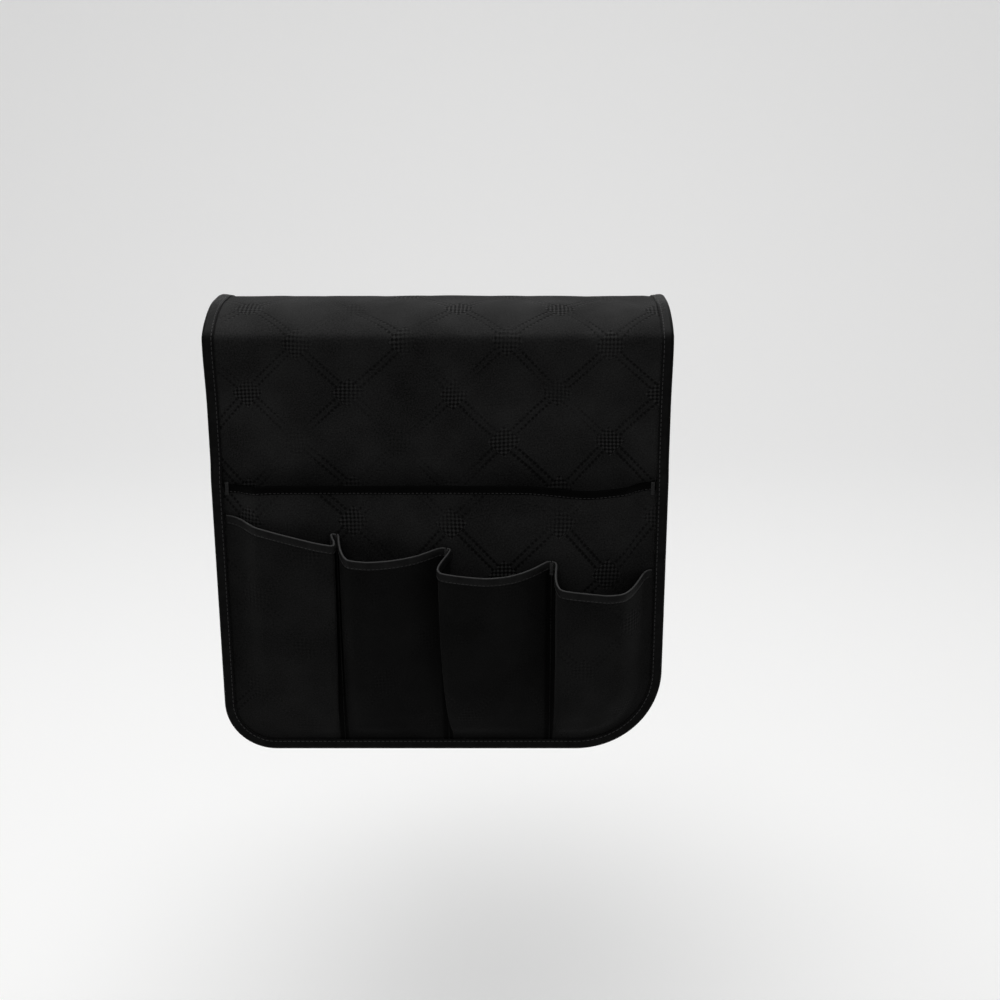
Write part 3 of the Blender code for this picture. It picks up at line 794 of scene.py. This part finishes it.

# Each small pocket's share of the greatest bulge and sag, whether its cloth gets the deeper painted
# shade, and its level section: share of its width, and share of its bulge.
smallPockets = (
    {
        "bulge": 0.78,
        "sag": 0.22,
        "shadedDeeper": False,
        "section": (
            (0.0, 0.0), (0.08, 0.0), (0.14, 0.0), (0.25, 0.12), (0.46, 0.50), (0.72, 0.84),
            (0.92, 1.06), (1.01, 1.08), (0.995, 0.60), (0.96, 0.15), (0.965, 0.0), (1.0, 0.0),
        ),
    },
    {
        "bulge": 0.94,
        "sag": 0.78,
        "shadedDeeper": True,
        "section": (
            (0.0, 0.0), (0.015, 0.0), (0.02, 0.20), (0.035, 0.60), (0.10, 1.08), (0.22, 1.06),
            (0.48, 0.86), (0.74, 0.50), (0.90, 0.10), (0.96, 0.0), (1.0, 0.0),
        ),
    },
    {
        "bulge": 1.0,
        "sag": 0.83,
        "shadedDeeper": True,
        "section": (
            (0.0, 0.0), (0.04, 0.0), (0.02, 0.16), (-0.05, 0.55), (-0.115, 1.00), (0.08, 1.11),
            (0.36, 1.02), (0.62, 0.80), (0.85, 0.34), (0.96, 0.0), (1.0, 0.0),
        ),
    },
    {
        "bulge": 1.0,
        "sag": 0.91,
        "shadedDeeper": False,
        "section": (
            (0.0, 0.0), (0.035, 0.0), (0.04, 0.16), (0.02, 0.62), (0.06, 1.12), (0.24, 1.08),
            (0.50, 1.02), (0.70, 0.78), (0.80, 0.20), (0.86, 0.0), (0.92, 0.0), (1.0, 0.0),
        ),
    },
)


def layerRoom(height):  # Room between two cloths, which grows towards the taped mouth
    return blend(clearance, tapeRoom, np.clip(height / magazine["height"], 0, 1))


def freeOfBinding(x, height, rise):  # 0 at the binding, and 1 once the cloth is clear of it
    return ease((edgeDistance(x, height, frontCorners) - bindingWidth) / rise)


def fullness(height, top):  # How full a pocket is, from 0 at its foot to 1 at its mouth
    share = np.clip((height - bindingWidth) / (top - bindingWidth), 0, 1)
    return np.sin(pi / 2 * share) ** fullnessShare


# The middle of the magazine pocket's cloth, out from the front's underside.
def magazineOut(x, height):
    side = ease((halfWidth - bindingWidth - np.abs(x)) / magazine["rise"])
    free = freeOfBinding(x, height, magazine["rise"])
    bulge = magazine["bulge"] * side * free * fullness(height, magazine["height"])
    return faceTop + layerRoom(height) + pocketThickness / 2 + bulge


def magazineMouth(x):  # The mouth's height: each dip has its share of the width, depth and reach
    share = (x + halfWidth) / width
    drops = (deep * np.exp(-(((share - at) / reach) ** 2)) for at, deep, reach in magazine["dips"])
    return magazine["height"] - magazine["sag"] - sum(drops)


def baseOut(x, height):  # Where a small pocket's cloth lies on the magazine pocket
    return magazineOut(x, height) + pocketThickness + layerRoom(height)


def mouthLine(x):  # The slanting line that the small pockets' mouths follow
    return blend(mouthLeft, mouthRight, (x + halfWidth) / width)


# Heights from under the foot binding up to the mouth, for each column's top.
def rowHeights(rows, top):
    share = (np.arange(rows - 1) / (rows - 2)) ** rowShare
    upper = blend(bindingWidth + clearance, top[None, :], share[:, None])
    return np.concatenate([np.full((1, len(top)), panelInset), upper])


# Even steps along a cubic B-spline that starts and ends on the first and last point.
def smoothSection(points, count):
    points = np.array([points[0]] * 2 + list(points) + [points[-1]] * 2)
    spans = len(points) - 3
    place = np.linspace(0, spans, count)
    span = np.minimum(place.astype(int), spans - 1)
    t = (place - span)[:, None]
    weights = ((1 - t) ** 3, 3 * t**3 - 6 * t**2 + 4, -3 * t**3 + 3 * t**2 + 3 * t + 1, t**3)
    return sum(weight * points[span + i] for i, weight in enumerate(weights)) / 6


def frontPlace(x, height, out):  # A place on the front from its height above the foot
    return clothPoint(x, frontAlong(height), out)


def magazineSheet():
    columns = magazine["columns"]
    base = np.linspace(-halfWidth + panelInset, halfWidth - panelInset, columns)
    heights = rowHeights(magazine["rows"], magazineMouth(base))
    left, right = edgeLimits(heights, panelInset, frontCorners)
    x = blend(left, right, np.linspace(0, 1, columns)[None, :])
    free = freeOfBinding(x, heights, magazine["rise"])
    wave = softNoise(x, heights, magazine["waveSeed"], magazine["waveScale"])
    wave = np.minimum(wave * magazine["waveDepth"] * free, 0)
    printed = frontAlong(heights) + magazine["patternShift"]
    relief = quiltRelief(x, printed) * free
    points = frontPlace(x, heights, magazineOut(x, heights) + wave + relief)
    layer = np.full_like(x, layerMark["magazine"])
    cloth = np.stack([*strayed(x, printed), layer], axis=-1)
    return clothGrid("magazine_pocket", points, cloth, quiltedCloth)


class PocketCloth:  # One small pocket's cloth: arrays over its columns, and places at any height
    def __init__(self, pocket, index):
        self.left = seams[index - 1] + pockets["seamAllowance"] if index else None
        self.right = seams[index] - pockets["seamAllowance"] if index < len(seams) else None
        self.bulge = pockets["bulge"] * pocket["bulge"]
        self.index = index
        self.material = deepShadedPocketCloth if pocket["shadedDeeper"] else shadedPocketCloth
        section = smoothSection(pocket["section"], pockets["columns"])
        self.across, self.out = section[:, 0], section[:, 1]
        self.even = self.evenShares()
        left, right = self.limits(np.array(mouthRight))
        mouth = mouthLine(blend(left, right, self.across))
        self.top = mouth - pockets["sag"] * pocket["sag"] * np.minimum(1, self.out)

    def evenShares(self):  # The raised columns spread by their length along the cloth, for the foot
        raised = np.flatnonzero(self.out > 0)
        first, last = raised[0] - 1, raised[-1] + 1
        part = slice(first, last + 1)
        steps = np.hypot(np.diff(self.across) * width / 4, np.diff(self.out) * self.bulge)
        self.girth = np.concatenate([[0], np.cumsum(steps)])
        lengths = self.girth[part] - self.girth[first]
        self.raised = float(lengths[-1])
        even = self.across.copy()
        even[part] = blend(self.across[first], self.across[last], lengths / lengths[-1])
        return even

    def limits(self, height):
        left, right = edgeLimits(height, panelInset, frontCorners)
        left = left if self.left is None else self.left
        return left, right if self.right is None else self.right

    # The cloth's middle at heights, which give one height for each column in a row.
    def at(self, height, columns=slice(None)):
        across, out, even = self.across[columns], self.out[columns], self.even[columns]
        full = fullness(height, self.top[columns]) ** pockets["footShare"]
        left, right = self.limits(height)
        x = blend(left, right, blend(even, across, full ** pockets["pleatShare"]))
        free = freeOfBinding(x, height, pockets["rise"])
        return x, baseOut(x, height) + self.bulge * full * out * free

    # 1 along the seams, where the cloth gets painted shade, and 0 away from them.
    def seamShade(self):
        beside = np.ones(len(self.girth))
        if self.left is not None:
            beside = np.minimum(beside, self.girth)
        if self.right is not None:
            beside = np.minimum(beside, self.girth[-1] - self.girth)
        return 1 - ease((beside - pockets["seamShadeWidth"]) / pockets["seamShadeFade"])

    def sheet(self):
        heights = rowHeights(pockets["rows"], self.top)
        x, out = self.at(heights)
        full = np.clip(self.out, 0, 1)[None, :] * fullness(heights, self.top[None, :])
        more = self.index * pockets["seedStep"]
        creases = sum(
            share * softNoise(x, heights, seed + more, scale)
            for share, seed, scale in pockets["folds"]
        )
        out = out + creases * pockets["foldDepth"] * np.clip(full * 2, 0, 1)
        seam = self.left if self.left is not None else -halfWidth
        flatX = np.broadcast_to(seam + self.girth, x.shape)
        flatAlong = frontAlong(heights) + pockets["patternShift"] * self.index
        sewn = np.broadcast_to(layerMark["start"] + layerMark["reach"] * self.seamShade(), x.shape)
        cloth = np.stack([flatX, flatAlong, sewn], axis=-1)
        name = f"small_pocket_cloth_{self.index + 1}"
        return clothGrid(name, frontPlace(x, heights, out), cloth, self.material)


magazineCloth = magazineSheet()
place(magazineCloth, "quilted_cloth", body="front", stands=["magazine_pocket_panel"])
pocketCloths = [PocketCloth(pocket, index) for index, pocket in enumerate(smallPockets)]
for cloth in pocketCloths:
    piece = cloth.sheet()
    place(piece, "pocket_cloth", body="front", stands=[f"small_pocket_{cloth.index + 1}"])
print("pockets made")


# The faces of a tube made of rings of points, with its two ends closed or left open.
def tubeFaces(stations, around, closedEnds=True):
    faces = gridFaces(stations, around, closed=True)
    if closedEnds:
        faces.append(tuple(range(around))[::-1])
        faces.append(tuple((stations - 1) * around + i for i in range(around)))
    return faces


bandStep = 0.0009  # Flat width of tape from one point of a band's section to the next


# A folded tape as one band: its outer line and its inner line at each station.
def foldedBand(name, outer, inner, along, material, closedEnds=True):
    rings = np.concatenate([outer, inner[:, ::-1]], axis=1)
    count = outer.shape[1]
    cross = np.concatenate([np.arange(count), np.arange(count)[::-1]]) * bandStep
    cloth = np.zeros(rings.shape)
    cloth[..., 0] = along[:, None]
    cloth[..., 1] = cross[None, :]
    faces = tubeFaces(len(rings), rings.shape[1], closedEnds)
    return meshPiece(name, rings, cloth, faces, material)


# The edge binding: one ribbed tape folded over the panel's edge and sewn through near its lips.
binding = {
    "step": 0.0030,
    "lipDip": 0.0007,
    "puckerDepth": 0.00016,
    "puckerPitch": 0.0062,
    "calmEnd": 0.012,
    "stitchShare": 0.4,
    "roundness": 0.0016,
    "foot": 0.0002,
    "faceGap": 0.0001,
    "noiseSeed": 2.2,
    "noiseScale": (90, 1),
    "probe": 0.01,  # How far out the cloth's outward way is measured
}


# Stations along one side of the flat cloth: x, along, and the way in.
def sidePath(first, last, side):
    rows = panelRows(first, last, binding["step"])
    return np.array([(side * halfWidth, along, -side, 0.0) for along in rows])


# The same down one side, round a panel's end and up the other side.
def roundedPath(first, end, corners):
    step = binding["step"]
    sign = 1 if end > 0 else -1
    length = abs(end) - abs(first)
    legs = []
    for radius, edge in zip(corners, (-1, 1)):
        leg = []
        for reach in panelRows(0, length - radius, step)[:-1]:
            leg.append((edge * halfWidth, first + sign * reach, -edge, 0.0))
        for turn in np.linspace(0, pi / 2, int(radius * pi / 2 / step) + 1):
            x = edge * (halfWidth - radius * (1 - cos(turn)))
            along = end - sign * radius * (1 - sin(turn))
            leg.append((x, along, -edge * cos(turn), -sign * sin(turn)))
        legs.append(leg)
    span = panelRows(-halfWidth + corners[0], halfWidth - corners[1], step)[1:-1]
    foot = [(x, end, 0.0, -sign) for x in span]
    return np.array(legs[0] + foot + legs[1][::-1])


# How far out the binding's outer leg lies beside the pockets, easing to the bare panel.
def stackTop(height):
    limited = np.minimum(height, magazine["height"] + 2 * bindingWidth)
    stack = faceTop + 2 * (layerRoom(limited) + pocketThickness)
    beside = stack + 2 * clearance + tapeThickness
    above = ease((limited - magazine["height"]) / (2 * bindingWidth))
    return blend(beside, panelOuter, above), above


# The binding's outer and inner lines at each station.
def bindingLines(path, pathLength, isFront):
    x, along, inX, inAlong = path.T
    if isFront:
        top, bare = stackTop(np.clip(frontEnd - np.abs(along), 0, None))
    else:
        top, bare = np.full(len(x), panelOuter), np.ones(len(x))
    pucker = np.sin(2 * pi * pathLength / binding["puckerPitch"]) * binding["puckerDepth"]
    wander = softNoise(pathLength, 0 * pathLength, binding["noiseSeed"], binding["noiseScale"])
    pucker += binding["puckerDepth"] * wander
    pucker *= ease(np.minimum(pathLength, pathLength[-1] - pathLength) / binding["calmEnd"])
    lines = []
    for depth in (0.0, tapeThickness):
        upper = top - depth - binding["faceGap"]
        lip = upper - binding["lipDip"] * bare
        under = binding["foot"] + depth
        turned = binding["roundness"] * 1.15
        nearEdge = depth + binding["roundness"] * 0.30
        profile = [
            (bindingWidth, lip + pucker * 0.5),
            (bindingWidth * 0.80, blend(lip, upper, 0.22) - binding["puckerDepth"]),
            (bindingWidth * 0.55, blend(lip, upper, 0.75) + pucker),
            (bindingWidth * 0.32, upper),
            (turned, upper),
            (nearEdge, blend(under, upper, 0.90)),
            (depth, blend(under, upper, 0.66)),
            (depth, blend(under, upper, 0.34)),
            (nearEdge, blend(under, upper, 0.10)),
            (turned, under),
            (bindingWidth * 0.5, under),
            (bindingWidth, under),
        ]
        line = [
            clothPoint(x + inX * inset, along + inAlong * inset, out) for inset, out in profile
        ]
        lines.append(np.stack(line, axis=1))
    return lines


def runLengths(points):  # The length from the first point of a line to each of its points
    steps = np.linalg.norm(np.diff(points, axis=0), axis=1)
    return np.concatenate([[0], np.cumsum(steps)])


# Stitches: their length and thickness in metres, and a spindle's outline as shares of both.
stitching = {
    "edge": {"length": 0.0024, "gap": 0.0010, "radius": 0.00024},
    "mouth": {"length": 0.0021, "gap": 0.0009, "radius": 0.00020},
    "outline": ((0.0, 0.35), (0.12, 0.8), (0.5, 1.0), (0.88, 0.8), (1.0, 0.35)),
    "around": 6,
    "riseShare": 0.25,
    "flatShare": 1.25,
}


# Stitches as slim spindles along a line of places, half sunk in the cloth.
def stitchRun(points, normals, length, gap, radius):
    run = runLengths(points)
    starts = np.arange(gap, run[-1] - length, length + gap)
    outline, around = stitching["outline"], stitching["around"]
    vertices, faces, cloth = [], [], []

    def at(distance, values):
        return np.array([np.interp(distance, run, values[:, axis]) for axis in range(3)])

    for start in starts:
        first, last = at(start, points), at(start + length, points)
        way = (last - first) / (np.linalg.norm(last - first) + tiny)
        up = at(start + length / 2, normals)
        up = up - way * np.dot(up, way)
        up /= np.linalg.norm(up) + tiny
        side = np.cross(way, up)
        base = len(vertices)
        for share, girth in outline:
            rise = up * radius * stitching["riseShare"] * sin(pi * share)
            centre = at(start + length * share, points) + rise
            for turn in range(around):
                angle = 2 * pi * turn / around
                spoke = side * cos(angle) * stitching["flatShare"] + up * sin(angle)
                vertices.append(centre + spoke * radius * girth)
                cloth.append((start + length * share, turn * radius, 0))
        spindle = tubeFaces(len(outline), around)
        faces += [tuple(base + i for i in face) for face in spindle]
    return vertices, faces, cloth


# All the stitches along several lines as one piece of thread.
def stitches(name, lines, kind):
    vertices, faces, cloth = [], [], []
    for points, normals in lines:
        more, moreFaces, moreCloth = stitchRun(points, normals, **stitching[kind])
        base = len(vertices)
        vertices += more
        cloth += moreCloth
        faces += [tuple(base + i for i in face) for face in moreFaces]
    return meshPiece(name, np.array(vertices), np.array(cloth), faces, sewingThread)


# A stretch of binding, and the line of stitches through it on both of its legs.
def bindingPiece(name, path, isFront):
    lengths = runLengths(path[:, :2])
    outer, inner = bindingLines(path, lengths, isFront)
    band = foldedBand(name, outer, inner, lengths, bindingTape, closedEnds=False)
    outward = clothPoint(*path[:, :2].T, binding["probe"]) - clothPoint(*path[:, :2].T, 0.0)
    outward /= np.linalg.norm(outward, axis=1, keepdims=True)
    under = blend(outer[:, -1], outer[:, -2], binding["stitchShare"])
    lines = [(outer[:, 1], outward), (under, -outward)]
    return band, stitches(name + "_stitches", lines, "edge")


edges = {
    "front_edge_binding": {
        "fold": "front",
        "path": roundedPath(0, -frontEnd, frontCorners),
        "nodes": ("front_binding", "saddle_binding_left", "saddle_binding_right"),
    },
    "tail_edge_binding_left": {
        "fold": "tail",
        "path": sidePath(0, tailSplit, -1),
        "nodes": ("saddle_binding_left", "tail_binding_left"),
    },
    "tail_edge_binding_right": {
        "fold": "tail",
        "path": sidePath(0, tailSplit, 1),
        "nodes": ("saddle_binding_right", "tail_binding_right"),
    },
    "tuck_edge_binding": {
        "fold": "tuck",
        "path": roundedPath(tailSplit, flapEnd, flapCorners),
        "nodes": ("flap_binding", "tail_binding_left", "tail_binding_right"),
    },
}
trims = {fold: [] for fold in folds}
for name, edge in edges.items():
    band, thread = bindingPiece(name, edge["path"], edge["fold"] == "front")
    place(band, "binding_tape", bend=edge["fold"], stands=edge["nodes"])
    place(thread, "thread", bend=edge["fold"])
    trims[edge["fold"]] += [band, thread]
print("bindings made")


# A narrow tape folded over a mouth. lip and foot are lines on the cloth's middle.
def mouthBand(name, lip, foot, along, material):
    reach = pocketThickness / 2 + mouthFold["gap"]
    tangent = np.gradient(lip, axis=0)
    outward = np.cross(foot - lip, tangent)
    outward /= np.linalg.norm(outward, axis=1, keepdims=True)
    up = lip - foot
    up /= np.linalg.norm(up, axis=1, keepdims=True)
    lines = []
    for far in (reach + mouthFold["thickness"], reach):
        out, rise = outward * far, up * far
        turnOut, turnUp = out * mouthFold["turnOut"], rise * mouthFold["turnUp"]
        profile = [
            foot + outward * (far - mouthFold["pinch"]),
            blend(foot, lip, mouthFold["swellShare"]) + outward * (far + mouthFold["swell"]),
            lip + out,
            lip + turnOut + turnUp,
            lip + rise,
            lip - turnOut + turnUp,
            lip - out,
            foot - out,
        ]
        lines.append(np.stack(profile, axis=1))
    band = foldedBand(name, *lines, along, material)
    return band, (blend(lines[0][:, 0], lines[0][:, 1], mouthFold["sewnShare"]), outward)


mouthX = np.linspace(besideBinding - halfWidth, halfWidth - besideBinding, magazine["tapeSteps"])
lipHeight = magazineMouth(mouthX)
footHeight = lipHeight - magazine["tapeWidth"]
lip = frontPlace(mouthX, lipHeight, magazineOut(mouthX, lipHeight))
foot = frontPlace(mouthX, footHeight, magazineOut(mouthX, footHeight))
magazineBand, sewn = mouthBand("magazine_pocket_mouth_band", lip, foot, mouthX, magazineTape)
place(magazineBand, "binding_tape", body="front", stands=["magazine_pocket_mouth_tape"])
sewnLines = [sewn]
for cloth in pocketCloths:
    clear = np.flatnonzero(np.abs(cloth.at(cloth.top)[0]) <= halfWidth - besideBinding)
    columns = slice(clear[0], clear[-1] + 1)
    lines = []
    for height in (cloth.top[columns], cloth.top[columns] - pockets["tapeWidth"]):
        x, out = cloth.at(height, columns)
        lines.append(frontPlace(x, height, out))
    lip, foot = lines
    name = f"small_pocket_{cloth.index + 1}_mouth"
    band, sewn = mouthBand(name + "_band", lip, foot, runLengths(lip), mouthTapeCloth)
    place(band, "binding_tape", body="front", stands=[name + "_tape"])
    sewnLines.append(sewn)
mouthStitches = stitches("pocket_mouth_stitches", sewnLines, "mouth")
place(mouthStitches, "thread", body="front")
print("mouths made")


# Bar tacks: close zigzag stitches over a mouth's ends. high and low are how far one end of a
# loop and the other stand off the tape.
tacks = {
    "loops": 15,
    "length": 0.009,
    "width": 0.0022,
    "radius": 0.00038,
    "high": 0.0003,
    "low": 0.0002,
    "offTape": 0.0003,
}


def barTack(name, x, height, clothOut, node):
    out = float(clothOut) + pocketThickness / 2 + mouthFold["gap"] + mouthFold["thickness"]
    out += tacks["offTape"]
    half = tacks["length"] / 2
    rise = float(magazineOut(x, height + half) - magazineOut(x, height - half))
    points = []
    for loop in range(tacks["loops"] + 1):
        share = loop / tacks["loops"] - 0.5
        side = 1 if loop % 2 else -1
        for step in (-0.5, 0.5):
            bow = tacks["high"] if step * side > 0 else tacks["low"]
            across = x + side * step * tacks["width"]
            points.append((across, height + share * tacks["length"], out + share * rise + bow))
    line = frontPlace(*np.transpose(points))
    curve = bpy.data.curves.new(name, "CURVE")
    curve.dimensions = "3D"
    curve.bevel_depth = tacks["radius"]
    curve.bevel_resolution = 2
    curve.use_fill_caps = True
    spline = curve.splines.new("POLY")
    spline.points.add(len(line) - 1)
    for point, co in zip(spline.points, line):
        point.co = (*co, 1)
    curve.materials.append(tackThread)
    piece = bpy.data.objects.new(name, curve)
    bpy.context.scene.collection.objects.link(piece)
    return place(piece, "thread", body="front", stands=[node])


for number, seam in enumerate(seams, start=1):
    height = float(mouthLine(seam)) - tacks["length"] / 2
    clothOut = baseOut(seam, height)
    barTack(f"seam_bar_tack_{number}", seam, height, clothOut, f"seam_tack_{number}")
tackX = halfWidth - 2 * besideBinding + bindingWidth - tacks["width"] / 2
height = magazine["height"] - tacks["length"] / 2
for side, word in ((-1, "left"), (1, "right")):
    clothOut = magazineOut(tackX, height)
    barTack(f"magazine_bar_tack_{word}", side * tackX, height, clothOut, f"magazine_tack_{word}")
print("tacks made")

for fold, panel in panelSpans.items():
    face, backing = sheets[fold]
# A small pocket is cut as wide as its girth and its seam allowances, and pleated towards its foot.

# Stage: a pale floor well below that sweeps up into a backdrop. backdropLight is a glow that only
# the eye sees, so it lights nothing.
stage = {
    "floorZ": -0.62,
    "backY": 2.6,
    "sweepRadius": 0.9,
    "halfWidth": 9.0,
    "frontY": -9.0,
    "height": 3.2,
    "colour": "#bababa",
    "mottleColour": "#c0c0bf",
    "backdropLight": 0.48,
    "roughness": 0.75,
    "mottleScale": 6.0,
    "sweepSteps": 24,
}


# 1 for rays from the camera, straight, mirrored or through glass, and 0 for light's own.
def seenByEye(tree):
    path = addNode(tree, "ShaderNodeLightPath")
    known = {ray: path.outputs[f"Is {ray} Ray"] for ray in ("Camera", "Glossy", "Transmission")}
    steps = [
        ("beyond", "MAXIMUM", "Glossy", "Transmission"),
        ("seen", "MAXIMUM", "Camera", "beyond"),
    ]
    return calculate(tree, known, steps)["seen"]


def makeStage():  # A matte painted sweep, faintly mottled so that it reads as a surface
    radius, steps = stage["sweepRadius"], stage["sweepSteps"]
    turns = [pi / 2 * step / steps for step in range(steps + 1)]
    sweep = [(stage["backY"] - radius * (1 - sin(t)), radius * (1 - cos(t))) for t in turns]
    profile = [(stage["frontY"], 0.0), *sweep, (stage["backY"], stage["height"])]
    reach, floor = stage["halfWidth"], stage["floorZ"]
    points = [(side * reach, y, floor + z) for y, z in profile for side in (-1, 1)]
    made = bpy.data.materials.new("painted_sweep_matte")
    made.use_nodes = True
    tree = made.node_tree
    shader = tree.nodes["Principled BSDF"]
    shader.inputs["Roughness"].default_value = stage["roughness"]
    patchy = {"Scale": stage["mottleScale"], "Detail": 5.0}
    mottle = addNode(tree, "ShaderNodeTexNoise", links=patchy).outputs["Fac"]
    colours = {"Factor": mottle, 6: toLinear(stage["colour"]), 7: toLinear(stage["mottleColour"])}
    paint = addNode(tree, "ShaderNodeMix", {"data_type": "RGBA"}, colours)
    tree.links.new(paint.outputs[2], shader.inputs["Base Color"])
    known = {"seen": seenByEye(tree)}
    calculate(tree, known, [("glow", "MULTIPLY", "seen", stage["backdropLight"])])
    shader.inputs["Emission Color"].default_value = toLinear("#ffffff")
    tree.links.new(known["glow"], shader.inputs["Emission Strength"])
    faces = gridFaces(len(profile), 2)
    meshPiece("floor_sweep", points, np.zeros((len(points), 3)), faces, made)


# Lamps: a wide softbox overhead and a weak fill in front, sizes in metres and power in watts.
lamps = {
    "overhead_softbox": {
        "place": (-0.2, 0.35, 1.6),
        "target": (0.0, 0.0, 0.0),
        "size": (2.2, 1.6),
        "power": 39,
    },
    "front_fill": {
        "place": (-0.1, -2.3, 1.1),
        "target": (0.0, 0.0, -0.15),
        "size": (1.4, 1.2),
        "power": 6.5,
    },
}
# The room beyond the stage: its strength as light, and as what the eye sees.
room = {"colour": "#f6f6f6", "lit": 0.22, "seen": 0.70}

makeStage()
for name, lamp in lamps.items():
    light = bpy.data.lights.new(name, "AREA")
    light.shape = "RECTANGLE"
    light.size, light.size_y = lamp["size"]
    light.energy = lamp["power"]
    lampPiece = bpy.data.objects.new(name, light)
    lampPiece.location = lamp["place"]
    way = Vector(lamp["target"]) - Vector(lamp["place"])
    lampPiece.rotation_euler = way.to_track_quat("-Z", "Y").to_euler()
    bpy.context.scene.collection.objects.link(lampPiece)
world = bpy.data.worlds.new("studio")
bpy.context.scene.world = world
world.use_nodes = True
background = world.node_tree.nodes["Background"]
background.inputs["Color"].default_value = toLinear(room["colour"])
known = {"seen": seenByEye(world.node_tree)}
step = ("strength", "MULTIPLY_ADD", "seen", room["seen"] - room["lit"], room["lit"])
calculate(world.node_tree, known, [step])
world.node_tree.links.new(known["strength"], background.inputs["Strength"])

# Camera: the photograph's angle, set from the sides' convergence and the crease's height.
cameraSet = {
    "place": (0.0434, -1.0715, 0.194),
    "pitch": 17.8,
    "lens": 53.06,
    "sensor": 36,
    "sight": 20,
}
lens = bpy.data.cameras.new("camera")
lens.lens = cameraSet["lens"]
lens.sensor_width = cameraSet["sensor"]
lens.clip_end = cameraSet["sight"]
camera = bpy.data.objects.new("camera", lens)
camera.location = cameraSet["place"]
camera.rotation_euler = (radians(90 - cameraSet["pitch"]), 0, 0)
bpy.context.scene.collection.objects.link(camera)
bpy.context.scene.camera = camera
bpy.context.scene.view_settings.view_transform = "Standard"
print("stage and camera made")
